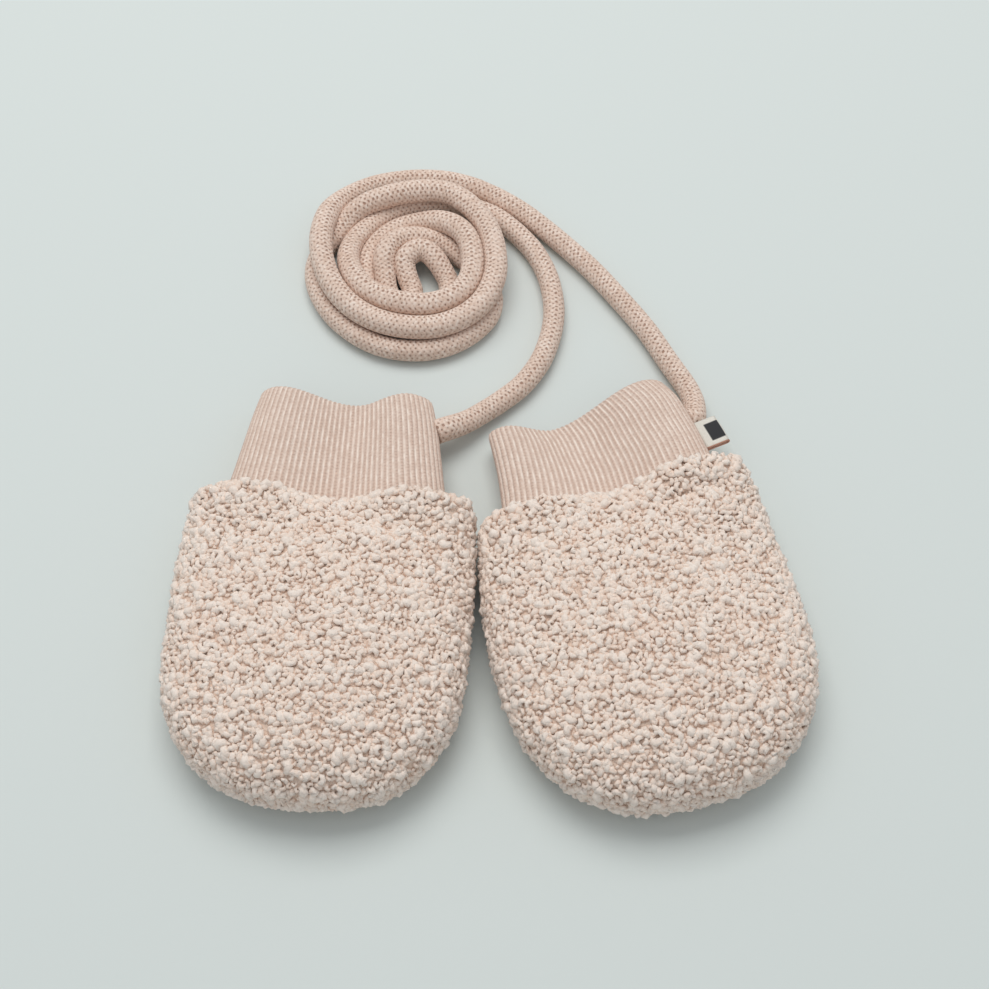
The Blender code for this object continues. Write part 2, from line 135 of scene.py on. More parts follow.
# Cuffs' meshes
POINTS_PER_RIB = 6
CUFF_ROWS_OUTSIDE = 34
CUFF_ROWS_INSIDE = 10
RIM_TURNS = (30.0, 60.0, 90.0, 120.0, 150.0)    # degrees
RIB_STITCH_HEIGHT = 1.25 * MM

# A row for each place along a mitten, in mm, from the cuff seam to the fingertip
BodyRow = namedtuple("BodyRow", "along left right left_top middle_top right_top fullness")
# and for each place along a cuff, from the cuff seam to the rim
CuffRow = namedtuple("CuffRow",
                     "along left right left_top middle_top right_top fullness lean")
Crease = namedtuple("Crease", "across along half_length half_width depth turn")
# Where the upper cloth's two folds lie, and the sag between them, as shares of the half width,
# and in mm how much further a cuff reaches at its folds than at its sag
Folds = namedtuple("Folds", "left sag right reach")
Section = namedtuple("Section",
                     "centre half seam left_top middle_top right_top floor fullness folds")
Mitten = namedtuple("Mitten",
                    "name place turn tip body cuff rim_folds creases cuff_creases")
# The coil's turns: angle in degrees round its middle, reach from it and height of the cord
CoilRow = namedtuple("CoilRow", "angle reach height")

BODY_FOLDS = Folds(-0.62, 0.0, 0.62, 0.0)
LEFT_RIM_FOLDS = Folds(-0.90, 0.09, 0.81, 2.8)
RIGHT_RIM_FOLDS = Folds(-0.90, -0.28, 0.85, 3.4)
LEFT_BODY = [
    BodyRow(0.3, 42.4, 40.2, 28.5, 18.5, 29.5, 0.45),
    BodyRow(3.5, 45.6, 43.6, 30.0, 22.0, 30.5, 0.52),
    BodyRow(8.0, 47.0, 44.2, 29.8, 25.2, 30.0, 0.64),
    BodyRow(15.0, 48.0, 44.8, 29.2, 27.5, 29.2, 0.76),
    BodyRow(26.0, 48.6, 45.2, 29.0, 29.0, 29.0, 0.80),
    BodyRow(40.0, 48.8, 44.8, 29.5, 31.0, 29.5, 0.80),
    BodyRow(54.0, 48.6, 44.4, 29.5, 32.0, 29.5, 0.80),
]
RIGHT_BODY = [
    BodyRow(0.3, 36.4, 43.6, 25.5, 18.5, 30.0, 0.45),
    BodyRow(3.5, 40.6, 46.8, 28.5, 22.5, 31.5, 0.52),
    BodyRow(8.0, 42.6, 48.2, 29.0, 25.6, 31.5, 0.64),
    BodyRow(15.0, 44.3, 48.8, 29.0, 28.0, 30.5, 0.76),
    BodyRow(26.0, 46.5, 48.9, 29.0, 29.5, 29.5, 0.80),
    BodyRow(40.0, 48.0, 49.2, 29.5, 31.5, 29.5, 0.80),
    BodyRow(54.0, 48.8, 48.8, 30.0, 32.5, 30.0, 0.80),
]
LEFT_CUFF = [
    CuffRow(0.0, 37.0, 34.4, 22.5, 16.5, 23.5, 0.80, 0.0),
    CuffRow(10.0, 35.2, 32.8, 22.2, 15.2, 22.5, 0.80, 0.0),
    CuffRow(20.0, 33.6, 31.2, 21.6, 14.2, 21.3, 0.80, 0.0),
    CuffRow(31.0, 31.8, 29.2, 20.9, 13.4, 20.2, 0.80, -0.1),
    CuffRow(40.5, 29.8, 26.9, 19.9, 12.2, 18.8, 0.80, -0.2),
]
RIGHT_CUFF = [
    CuffRow(0.0, 31.8, 39.6, 20.5, 16.5, 24.5, 0.80, 0.0),
    CuffRow(10.0, 30.2, 38.8, 17.8, 13.8, 23.4, 0.70, 0.3),
    CuffRow(19.0, 28.9, 37.8, 16.4, 11.2, 21.6, 0.60, 0.6),
    CuffRow(28.0, 28.2, 36.0, 15.0, 9.2, 20.6, 0.53, 1.0),
    CuffRow(35.2, 27.8, 32.4, 13.8, 7.6, 19.2, 0.50, 1.5),
]
LEFT_CREASES = [
    Crease(12.0, 12.5, 17.0, 4.2, 1.8, 8.0),
    Crease(-18.0, 16.0, 12.0, 4.0, 0.9, -10.0),
]
RIGHT_CREASES = [
    Crease(24.0, 12.5, 16.0, 3.6, 3.0, -4.0),
    Crease(-6.0, 15.5, 17.0, 3.8, 1.4, 4.0),
    Crease(37.0, 26.0, 5.0, 2.6, 1.2, 60.0),
]
LEFT_CUFF_CREASES = [
    Crease(4.0, 34.0, 3.5, 9.0, 0.9, -14.0),
]
RIGHT_CUFF_CREASES = [
    Crease(-4.0, 24.0, 3.5, 11.0, 0.7, 12.0),
]
LEFT = Mitten("left", Vector((-47.85, 27.6, 0.0)) * MM, math.radians(-3.0), 101.5,
              LEFT_BODY, LEFT_CUFF, LEFT_RIM_FOLDS, LEFT_CREASES, LEFT_CUFF_CREASES)
RIGHT = Mitten("right", Vector((35.55, 29.6, 0.0)) * MM, math.radians(15.0), 105.5,
               RIGHT_BODY, RIGHT_CUFF, RIGHT_RIM_FOLDS, RIGHT_CREASES, RIGHT_CUFF_CREASES)

# The cord's way, in mm: out of the left cuff's side seam to the coil
LEFT_ROUTE = [
    (-17.6, 57.0, 9.6), (-15.1, 58.3, 9.2), (-8.4, 62.6, 6.6), (-2.5, 67.6, 4.6),
    (4.6, 73.5, 3.75), (11.3, 79.8, 3.7), (17.2, 88.9, 3.7), (20.7, 98.8, 3.7),
    (22.2, 108.0, 3.7), (21.9, 116.6, 3.7), (20.1, 125.7, 3.7), (16.6, 134.2, 3.7),
    (12.6, 140.4, 3.7), (7.1, 146.8, 3.7),
]
# from the right cuff's side seam, round the outside, to the coil's back
RIGHT_ROUTE = [
    (65.2, 61.4, 9.0), (67.6, 63.6, 8.2), (68.3, 69.2, 6.2), (67.8, 73.7, 4.9),
    (66.0, 79.2, 4.0), (60.4, 89.7, 3.7), (53.8, 102.2, 3.7), (45.3, 114.9, 3.7),
    (35.9, 127.8, 3.7), (26.7, 138.4, 3.7), (16.9, 148.6, 3.7), (10.4, 154.5, 3.7),
    (3.7, 159.4, 3.7), (-0.8, 162.1, 3.7),
]
# and where it turns back on itself in the coil's middle
MIDDLE_FOLD = [
    (-42.3, 119.5, 4.0), (-39.5, 111.8, 3.7), (-33.5, 106.0, 3.7), (-26.0, 104.3, 3.7),
    (-18.5, 107.2, 3.7), (-14.2, 113.6, 3.7),
    (-14.2, 121.3, 4.2), (-16.0, 125.4, 5.4), (-18.4, 129.0, 7.0), (-21.6, 132.4, 8.0),
    (-25.2, 133.2, 8.2), (-28.6, 131.0, 7.8), (-29.9, 127.8, 6.6), (-28.9, 123.2, 5.0),
    (-27.4, 118.4, 3.8), (-28.3, 114.4, 3.7), (-31.8, 112.6, 3.7), (-35.4, 114.8, 3.8),
    (-37.0, 118.9, 4.6),
]
COIL_MIDDLE = Vector((-28.2, 127.7, 0.0)) * MM
COIL_POINT_ANGLE = 12.0     # degrees between the route's points on a turn
# the left mitten's turns, wound inwards anticlockwise
LEFT_SPIRAL = [
    CoilRow(40.0, 38.0, 3.7), CoilRow(55.0, 34.4, 3.7), CoilRow(70.0, 30.7, 3.7),
    CoilRow(85.0, 28.8, 3.7), CoilRow(110.0, 26.4, 4.0), CoilRow(132.0, 24.4, 5.0),
    CoilRow(153.0, 23.0, 6.0), CoilRow(175.0, 21.4, 7.6), CoilRow(195.0, 20.0, 8.8),
    CoilRow(215.0, 19.4, 9.6), CoilRow(240.0, 19.0, 10.2), CoilRow(265.0, 19.4, 10.5),
    CoilRow(293.0, 21.3, 10.5), CoilRow(315.0, 22.9, 10.5), CoilRow(335.0, 23.2, 10.5),
    CoilRow(360.0, 22.2, 10.5), CoilRow(387.0, 22.0, 10.3), CoilRow(402.0, 21.4, 9.6),
    CoilRow(417.0, 20.4, 8.2), CoilRow(440.0, 19.0, 5.6), CoilRow(470.0, 17.6, 4.4),
    CoilRow(500.0, 15.9, 3.9), CoilRow(525.0, 14.8, 3.7), CoilRow(543.0, 14.6, 3.7),
]
# the right mitten's turns, wound the same way
RIGHT_SPIRAL = [
    CoilRow(60.0, 43.2, 3.7), CoilRow(90.0, 40.6, 3.7), CoilRow(110.0, 39.6, 4.0),
    CoilRow(130.0, 36.8, 5.8), CoilRow(150.0, 33.2, 8.0), CoilRow(170.0, 30.6, 9.7),
    CoilRow(195.0, 28.5, 10.0), CoilRow(230.0, 27.4, 9.7), CoilRow(265.0, 28.0, 9.5),
    CoilRow(295.0, 30.2, 9.6), CoilRow(320.0, 31.6, 10.3), CoilRow(345.0, 31.0, 10.5),
    CoilRow(365.0, 30.2, 10.5), CoilRow(395.0, 30.8, 10.5), CoilRow(425.0, 31.8, 10.2),
    CoilRow(445.0, 29.8, 10.0), CoilRow(467.0, 28.6, 9.5), CoilRow(485.0, 29.5, 8.0),
    CoilRow(498.0, 30.1, 6.0), CoilRow(507.0, 30.0, 4.4), CoilRow(520.0, 31.2, 3.7),
    CoilRow(533.0, 32.8, 3.7), CoilRow(547.0, 33.0, 3.7), CoilRow(562.0, 32.4, 3.7),
    CoilRow(590.0, 32.2, 3.7), CoilRow(620.0, 33.6, 3.7), CoilRow(650.0, 34.8, 3.7),
    CoilRow(675.0, 34.6, 3.7), CoilRow(690.0, 33.4, 3.7), CoilRow(705.0, 29.2, 3.7),
    CoilRow(720.0, 23.6, 3.7), CoilRow(740.0, 18.8, 3.7), CoilRow(770.0, 15.8, 4.6),
    CoilRow(790.0, 13.8, 6.2), CoilRow(810.0, 12.2, 7.2), CoilRow(835.0, 11.2, 7.8),
    CoilRow(860.0, 10.2, 8.0), CoilRow(885.0, 9.6, 7.6), CoilRow(915.0, 9.6, 6.2),
]

# Label, a folded loop of woven tape at the right cuff's outer side
LABEL_REACH = 8.4 * MM
LABEL_WIDTH = 10.4 * MM
LABEL_THICKNESS = 0.5 * MM
LABEL_OPENING = 0.9 * MM
LABEL_ACROSS = 38.3 * MM
LABEL_ALONG = 14.8 * MM
LABEL_HEIGHT = 11.6 * MM
LABEL_TURN = math.radians(10.0)

# The cord's diameter
CORD_DIAMETER = 7.4 * MM

# Yarns: how fine their fibres are, their colours, and how strongly the fibres differ
RIB_YARN = {"Scale": 1100.0, "Main": (0.755, 0.60, 0.51, 1.0), "Light": (0.87, 0.75, 0.665, 1.0),
            "Dark": (0.61, 0.445, 0.36, 1.0), "Amount": 0.7}
CORD_YARN = {"Scale": 1000.0, "Main": (0.80, 0.62, 0.52, 1.0), "Light": (0.93, 0.80, 0.71, 1.0),
             "Dark": (0.67, 0.485, 0.385, 1.0), "Amount": 1.0}
CURL_YARN = {"Scale": 1500.0, "Main": (0.945, 0.79, 0.685, 1.0), "Light": (0.975, 0.88, 0.80, 1.0),
             "Dark": (0.87, 0.67, 0.55, 1.0), "Amount": 1.0}
# the backing's yarn, darkened to a tan as painted shade in the crevices between the curls
BACKING_YARN_AND_SHADE = {"Scale": 700.0, "Main": (0.84, 0.66, 0.545, 1.0), "Light": (0.92, 0.78, 0.68, 1.0),
                "Dark": (0.72, 0.53, 0.42, 1.0), "Amount": 0.9}
TAPE_YARN = {"Scale": 1600.0, "Main": (0.86, 0.82, 0.74, 1.0), "Light": (0.93, 0.90, 0.84, 1.0),
             "Dark": (0.76, 0.70, 0.61, 1.0), "Amount": 0.5}
# painted highlight on the rib crests
RIB_CREST_HIGHLIGHT = (0.92, 0.81, 0.725, 1.0)
# painted shade in the furrows between the ribs
RIB_FURROW_SHADE = (0.59, 0.40, 0.315, 1.0)
# painted shade in the rib's stitch holes
RIB_HOLE_SHADE = (0.58, 0.39, 0.31, 1.0)
# painted highlight on the cord's slanting yarn legs
CORD_LIT = (0.90, 0.78, 0.69, 1.0)
# painted shade in the grooves between the cord's legs
CORD_GROOVE_SHADE = (0.52, 0.34, 0.26, 1.0)
# painted shade in the cord's stitch holes
CORD_HOLE_SHADE = (0.36, 0.19, 0.13, 1.0)
CURL_TOP = (0.975, 0.885, 0.81, 1.0)
# painted shade low in the pile, at the curls' roots
CURL_ROOT_SHADE = (0.84, 0.60, 0.475, 1.0)
TAPE_BAND = (0.045, 0.045, 0.048, 1.0)
# painted shade in the gap between the label loop's two layers
TAPE_GAP_SHADE = (0.62, 0.22, 0.12, 1.0)
TAPE_WARP = 26.0            # threads across the tape
TAPE_WEFT = 46.0            # and along it
TABLE_COLOUR = (0.70, 0.745, 0.725, 1.0)
# How deep their relief is
RIB_RELIEF = 0.12 * MM
CORD_RELIEF = 0.2 * MM
CURL_RELIEF = 0.35 * MM
BACKING_RELIEF = 1.4 * MM
TAPE_RELIEF = 0.05 * MM

# Table and light
TABLE_REACH = 3.0
LAMP_SIZE = (1.1, 0.9)
LAMP_ENERGY = 11.8
LAMP_COLOUR = (1.0, 0.99, 0.97)
LAMP_PLACE = Vector((-0.12, 0.6, 1.35))
LAMP_AIM = Vector((0.0, 0.05, 0.0))
SURROUND_COLOUR = (0.93, 0.97, 1.0, 1.0)
SURROUND_STRENGTH = 0.52


# The mittens' form, the same as the solids'

def signed_power(value, power):
    """Raise a value's size to a power and keep its sign."""
    return math.copysign(abs(value) ** power, value)


def row_at(rows, spot):
    """The row at any place, on a smooth curve through the table's rows."""
    places = [row[0] for row in rows]
    k = max(1, min(len(rows) - 1, sum(place < spot for place in places)))
    before, after = rows[max(k - 2, 0)], rows[min(k + 1, len(rows) - 1)]
    low, high = rows[k - 1], rows[k]
    span = high[0] - low[0]
    f = (spot - low[0]) / span
    values = []
    for index in range(len(low)):
        slope_low = (high[index] - before[index]) / (high[0] - before[0]) * span
        slope_high = (after[index] - low[index]) / (after[0] - low[0]) * span
        rise = high[index] - low[index]
        values.append(low[index] + f * slope_low + f * f * (3 * rise - 2 * slope_low - slope_high)
                      + f ** 3 * (slope_low + slope_high - 2 * rise))
    return type(low)(*values)


def section_of(row, seam_height, folds=BODY_FOLDS):
    """The cross-section that a table row describes, in metres."""
    return Section((row.right - row.left) / 2.0 * MM, (row.right + row.left) / 2.0 * MM,
                   seam_height, row.left_top * MM, row.middle_top * MM, row.right_top * MM, 0.0,
                   row.fullness, folds)


def fold_share(folds, side):
    """0 at the sag between the two folds, rising smoothly to 1 at each fold."""
    span = folds.right - folds.sag if side > folds.sag else folds.sag - folds.left
    share = min(abs(side - folds.sag) / span, 1.0)
    return share * share * (3.0 - 2.0 * share)


def crown_height(section, side):
    """Height of the upper cloth: folds at the two sides, a sag between them."""
    fold = section.right_top if side > section.folds.sag else section.left_top
    return section.middle_top + (fold - section.middle_top) * fold_share(section.folds, side)


def seam_bow(across, distance):
    """How far a place near the cuff seam is moved towards the fingertip."""
    aside = min(abs(across) / SEAM_BOW_REACH, 1.0)
    aside = aside * aside * (3.0 - 2.0 * aside)
    fade = max(0.0, 1.0 - distance / SEAM_BOW_FADE) ** 2
    return SEAM_BOW * (SEAM_BOW_MEAN - aside) * fade


def flat_underside(side):
    """1 where the underside rests, falling to 0 at the side seam."""
    beyond = max(0.0, (abs(side) - FLAT_SHARE) / (1.0 - FLAT_SHARE))
    return math.sqrt(max(0.0, 1.0 - beyond * beyond))


def section_point(section, turn, inset):
    """A point of a section: turn 0 is the right seam, a half turn the left seam."""
    side = signed_power(math.cos(turn), SIDE_FULLNESS)
    across = section.centre + (section.half - inset) * side
    if math.sin(turn) >= 0.0:
        rise = crown_height(section, side) - inset - section.seam
        up = section.seam + rise * math.sin(turn) ** section.fullness
    else:
        up = section.seam - (section.seam - section.floor - inset) * flat_underside(side)
    return across, up, side


def to_table(mitten, across, along, up):
    """From a mitten's own measures to the table. along counts towards the rim."""
    c, s = math.cos(mitten.turn), math.sin(mitten.turn)
    return mitten.place + Vector((across * c - along * s, across * s + along * c, up))


def crease_depth(creases, across, along):
    """How far the creases lower the upper cloth at a place."""
    depth = 0.0
    for crease in creases:
        turn = math.radians(crease.turn)
        dx = across - crease.across * MM
        dy = along - crease.along * MM
        length_share = (dx * math.cos(turn) + dy * math.sin(turn)) / (crease.half_length * MM)
        width_share = (dy * math.cos(turn) - dx * math.sin(turn)) / (crease.half_width * MM)
        depth += crease.depth * MM * math.exp(-length_share ** 2 - width_share ** 2)
    return depth


def body_stations(mitten, inset, step):
    """Sections from the cuff seam to the last one before the fingertip's pole."""
    start = mitten.body[-1].along
    count = round(start / step)
    places = [PANEL_START + (start - PANEL_START) * k / count for k in range(count + 1)]
    stations = [(place * MM, section_of(row_at(mitten.body, place), SIDE_SEAM_HEIGHT))
                for place in places]
    full = section_of(mitten.body[-1], SIDE_SEAM_HEIGHT)
    for number in range(1, PANEL_TIP_STEPS):
        lean = 0.5 * math.pi * number / PANEL_TIP_STEPS
        share = math.sin(lean) ** (2.0 / TIP_POWER)
        narrow = math.cos(lean) ** (2.0 / TIP_POWER)
        low = (1.0 - share ** TIP_HEIGHT_POWER) ** (1.0 / TIP_HEIGHT_POWER)
        beyond = max(0.0, (share - TIP_FLAT_SHARE) / (1.0 - TIP_FLAT_SHARE))
        lifted = 1.0 - math.sqrt(1.0 - beyond * beyond)
        seam = full.seam
        stations.append((start * MM + ((mitten.tip - start) * MM - inset) * share, Section(
            full.centre * narrow,
            (full.half - inset) * narrow + inset,
            seam,
            seam + (full.left_top - inset - seam) * low + inset,
            seam + (full.middle_top - inset - seam) * low + inset,
            seam + (full.right_top - inset - seam) * low + inset,
            full.floor + (seam - full.floor - inset) * lifted,
            full.fullness,
            full.folds,
        )))
    return stations


def panel_grid(mitten, upper, inset, step):
    """One face of a fleece panel: rows of places, and the place of the fingertip's pole."""
    first = 0.0 if upper else math.pi
    lift = SEAM_GAP / 2.0 if upper else -SEAM_GAP / 2.0
    grid = []
    for toward_tip, section in body_stations(mitten, inset, step):
        line = []
        for number in range(PANEL_STEPS_ACROSS + 1):
            turn = first + math.pi * number / PANEL_STEPS_ACROSS
            across, up, side = section_point(section, turn, inset)
            if number in (0, PANEL_STEPS_ACROSS):
                up = section.seam
            if upper:
                up -= crease_depth(mitten.creases, across, toward_tip) * (1.0 - side ** 4)
                up = max(up, section.seam)
            else:
                up = min(up, section.seam)
            along = -toward_tip - seam_bow(across, toward_tip)
            line.append(to_table(mitten, across, along, up + lift))
        grid.append(line)
    pole = to_table(mitten, 0.0, -(mitten.tip * MM - inset), SIDE_SEAM_HEIGHT + lift)
    return grid, pole


# Meshes

def add_piece(name, mesh, material):
    """A named object for a finished mesh, at the origin, shaded smooth."""
    mesh.name = name
    mesh.materials.clear()
    mesh.materials.append(material)
    mesh.shade_smooth()
    piece = bpy.data.objects.new(name, mesh)
    bpy.context.scene.collection.objects.link(piece)
    return piece


def count_triangles(mesh):
    """How many triangles a mesh comes to."""
    return sum(len(face.vertices) - 2 for face in mesh.polygons)


def lattice_mesh(name, points, u_marks, v_marks, ends):
    """A tube from rings of points. u counts round it and v along it, for its UV map.

    ends says how it closes: "caps" by a fan at each end, "loop" by joining last to first.
    """
    rings, round_count, _ = points.shape
    vertices = points.reshape(-1, 3)
    joined = rings if ends == "loop" else rings - 1
    ring = np.arange(joined)[:, None]
    column = np.arange(round_count)[None, :]
    here, there = ring * round_count, (ring + 1) % rings * round_count
    following = (column + 1) % round_count
    faces = np.stack([here + column, here + following, there + following, there + column], axis=-1)
    u_left, u_right = u_marks[:-1][None, :], u_marks[1:][None, :]
    v_low, v_high = v_marks[:joined][:, None], v_marks[1:joined + 1][:, None]
    shape = (joined, round_count)
    u = np.stack([np.broadcast_to(a, shape) for a in (u_left, u_right, u_right, u_left)], axis=-1)
    v = np.stack([np.broadcast_to(a, shape) for a in (v_low, v_low, v_high, v_high)], axis=-1)
    face_list = faces.reshape(-1, 4).tolist()
    uv = np.stack([u, v], axis=-1).reshape(-1, 2)
    if ends == "caps":
        first, last = len(vertices), len(vertices) + 1
        middles = [points[0].mean(axis=0), points[-1].mean(axis=0)]
        vertices = np.vstack([vertices, middles])
        base = (rings - 1) * round_count
        extra_uv = []
        for k in range(round_count):
            after = (k + 1) % round_count
            face_list.append([first, after, k])
            face_list.append([last, base + k, base + after])
            for mark in (v_marks[0], v_marks[rings - 1]):
                extra_uv += [(u_marks[k], mark), (u_marks[k + 1], mark), (u_marks[k], mark)]
        uv = np.vstack([uv, extra_uv])
    mesh = bpy.data.meshes.new(name)
    mesh.from_pydata(vertices.tolist(), [], face_list)
    mesh.uv_layers.new(name="UVMap").data.foreach_set("uv", uv.ravel().astype(np.float32))
    return mesh


# Shader node groups

class NodeWriter:
    """Adds nodes to a tree in few words."""

    def __init__(self, tree):
        self.tree = tree

    def add(self, kind, inputs=(), **settings):
        """A node of a kind, with its settings, and values or links for its inputs."""
        node = self.tree.nodes.new(kind)
        for key, value in settings.items():
            setattr(node, key, value)
        for key, value in dict(inputs).items():
            if isinstance(value, bpy.types.NodeSocket):
                self.tree.links.new(value, node.inputs[key])
            else:
                node.inputs[key].default_value = value
        return node

    def math(self, operation, first, second=0.0):
        """A math node's value."""
        return self.add("ShaderNodeMath", {0: first, 1: second}, operation=operation).outputs[0]

    def smooth_range(self, value, low, high, to_low=0.0, to_high=1.0):
        """A value mapped smoothly from one range to another."""
        node = self.add("ShaderNodeMapRange", {"Value": value, "From Min": low, "From Max": high,
                                               "To Min": to_low, "To Max": to_high},
                        interpolation_type="SMOOTHSTEP")
        return node.outputs["Result"]

    def mix(self, factor, first, second, blend="MIX"):
        """A mix of two colours."""
        node = self.add("ShaderNodeMix", {0: factor, 6: first, 7: second},
                        data_type="RGBA", blend_type=blend)
        return node.outputs[2]


def new_group(name, inputs, outputs):
    """A shader node group with named sockets, and its writer, input node and output node."""
    tree = bpy.data.node_groups.new(name, "ShaderNodeTree")
    for socket, kind, value in inputs:
        made = tree.interface.new_socket(socket, in_out="INPUT", socket_type=kind)
        if value is not None:
            made.default_value = value
    for socket, kind in outputs:
        tree.interface.new_socket(socket, in_out="OUTPUT", socket_type=kind)
    writer = NodeWriter(tree)
    return writer, writer.add("NodeGroupInput"), writer.add("NodeGroupOutput")


def knit_group():
    """Stocking stitch on a UV map in stitches: how high the yarn stands, and its holes.

    The yarn's legs lean to either side in turn, as in a row of Vs, with a hole where they part.
    """
    writer, source, result = new_group(
        "knit stitches",
        [("Stitches", "NodeSocketVector", None), ("Hole Size", "NodeSocketFloat", 0.5),
         ("Waver", "NodeSocketFloat", 0.25), ("Unevenness", "NodeSocketFloat", 0.5),
         ("Line Every", "NodeSocketFloat", 9.0), ("Line Strength", "NodeSocketFloat", 0.0)],
        [("Height", "NodeSocketFloat"), ("Hole", "NodeSocketFloat"), ("Leg", "NodeSocketFloat")])
    drift = writer.add("ShaderNodeTexNoise", {"Vector": source.outputs["Stitches"],
                                              "Scale": 0.55, "Detail": 1.0})
    parts = writer.add("ShaderNodeSeparateXYZ", {0: source.outputs["Stitches"]})
    shift = writer.math("MULTIPLY", writer.math("SUBTRACT", drift.outputs["Fac"], 0.5),
                        source.outputs["Waver"])
    column = writer.math("ADD", parts.outputs["X"], shift)
    row = writer.math("ADD", parts.outputs["Y"], writer.math("MULTIPLY", shift, 2.0))
    across = writer.math("MULTIPLY", column, math.pi)
    along = writer.math("MULTIPLY", row, 2.0 * math.pi)
    lattice = writer.math("MULTIPLY", writer.math("SINE", across), writer.math("COSINE", along))
    patchy = writer.add("ShaderNodeTexNoise", {"Vector": source.outputs["Stitches"],
                                               "Scale": 0.9, "Detail": 2.0})
    uneven = writer.math("MULTIPLY", writer.math("SUBTRACT", patchy.outputs["Fac"], 0.5),
                         source.outputs["Unevenness"])
    round_lines = writer.math("MULTIPLY", 2.0 * math.pi, writer.math(
        "DIVIDE", writer.math("SUBTRACT", column, 0.5), source.outputs["Line Every"]))
    line = writer.math("MULTIPLY", writer.smooth_range(writer.math("COSINE", round_lines), 0.8, 1.0),
                       source.outputs["Line Strength"])
    size = writer.math("ADD", writer.math("ADD", source.outputs["Hole Size"], uneven), line)
    edge = writer.math("SUBTRACT", 1.0, size)
    rim = writer.math("ADD", edge, 0.35)
    hole = writer.smooth_range(lattice, edge, rim)
    half = writer.math("ADD", writer.math("MULTIPLY", column, 0.5), 0.25)
    part = writer.math("SUBTRACT", writer.math("FRACT", half), 0.5)
    lean = writer.math("MULTIPLY", writer.math("ABSOLUTE", part), 2.0 * math.pi)
    leg = writer.math("MULTIPLY", writer.math("COSINE", writer.math("ADD", along, lean)), -1.0)
    height = writer.math("ADD", writer.math("SUBTRACT", 0.8, hole),
                         writer.math("MULTIPLY", leg, 0.18))
    writer.tree.links.new(height, result.inputs["Height"])
    writer.tree.links.new(hole, result.inputs["Hole"])
    writer.tree.links.new(leg, result.inputs["Leg"])
    return writer.tree


def heather_group():
    """Yarn spun of lighter and darker fibres: a colour that wavers about the main one."""
    writer, source, result = new_group(
        "heathered yarn",
        [("Place", "NodeSocketVector", None), ("Scale", "NodeSocketFloat", 900.0),
         ("Main", "NodeSocketColor", (0.75, 0.6, 0.5, 1.0)),
         ("Light", "NodeSocketColor", (0.88, 0.76, 0.68, 1.0)),
         ("Dark", "NodeSocketColor", (0.6, 0.42, 0.33, 1.0)),
         ("Amount", "NodeSocketFloat", 0.6)],
        [("Color", "NodeSocketColor"), ("Fibres", "NodeSocketFloat")])
    fine = writer.add("ShaderNodeTexNoise", {"Vector": source.outputs["Place"],
                                             "Scale": source.outputs["Scale"],
                                             "Detail": 3.0, "Roughness": 0.6})
    broad = writer.add("ShaderNodeTexNoise", {
        "Vector": source.outputs["Place"],
        "Scale": writer.math("MULTIPLY", source.outputs["Scale"], 0.12), "Detail": 2.0})
    light = writer.smooth_range(fine.outputs["Fac"], 0.5, 0.72)
    dark = writer.smooth_range(fine.outputs["Fac"], 0.48, 0.3)
    wide = writer.smooth_range(broad.outputs["Fac"], 0.35, 0.65, 0.0, 0.35)
    amount = source.outputs["Amount"]
    colour = writer.mix(writer.math("MULTIPLY", light, amount), source.outputs["Main"],
                        source.outputs["Light"])
    colour = writer.mix(writer.math("MULTIPLY", dark, amount), colour, source.outputs["Dark"])
    colour = writer.mix(writer.math("MULTIPLY", wide, amount), colour, source.outputs["Dark"])
    writer.tree.links.new(colour, result.inputs["Color"])
    writer.tree.links.new(fine.outputs["Fac"], result.inputs["Fibres"])
    return writer.tree


def new_material(name):
    """A material, its writer and its Principled shader."""
    material = bpy.data.materials.new(name)
    material.use_nodes = True
    shader = material.node_tree.nodes["Principled BSDF"]
    return material, NodeWriter(material.node_tree), shader


def place_group(writer, tree, inputs):
    """A group node in a material, with its inputs."""
    node = writer.add("ShaderNodeGroup", node_tree=tree)
    for key, value in inputs.items():
        if isinstance(value, bpy.types.NodeSocket):
            writer.tree.links.new(value, node.inputs[key])
        else:
            node.inputs[key].default_value = value
    return node


def spin_yarn(writer, heather, yarn):
    """A yarn's heathered colour and its fibres, on Object coordinates."""
    place = writer.add("ShaderNodeTexCoord").outputs["Object"]
    return place_group(writer, heather, {"Place": place, **yarn})


def finish_cloth(writer, shader, colour, height, bump_distance, roughness, sheen):
    """Wire a cloth's colour and relief to its shader, and set its fixed values."""
    bump = writer.add("ShaderNodeBump", {"Height": height, "Distance": bump_distance,
                                         "Strength": 1.0})
    writer.tree.links.new(colour, shader.inputs["Base Color"])
    writer.tree.links.new(bump.outputs["Normal"], shader.inputs["Normal"])
    shader.inputs["Roughness"].default_value = roughness
    shader.inputs["Sheen Weight"].default_value = sheen
    shader.inputs["Sheen Roughness"].default_value = 0.5
    shader.inputs["Specular IOR Level"].default_value = 0.2


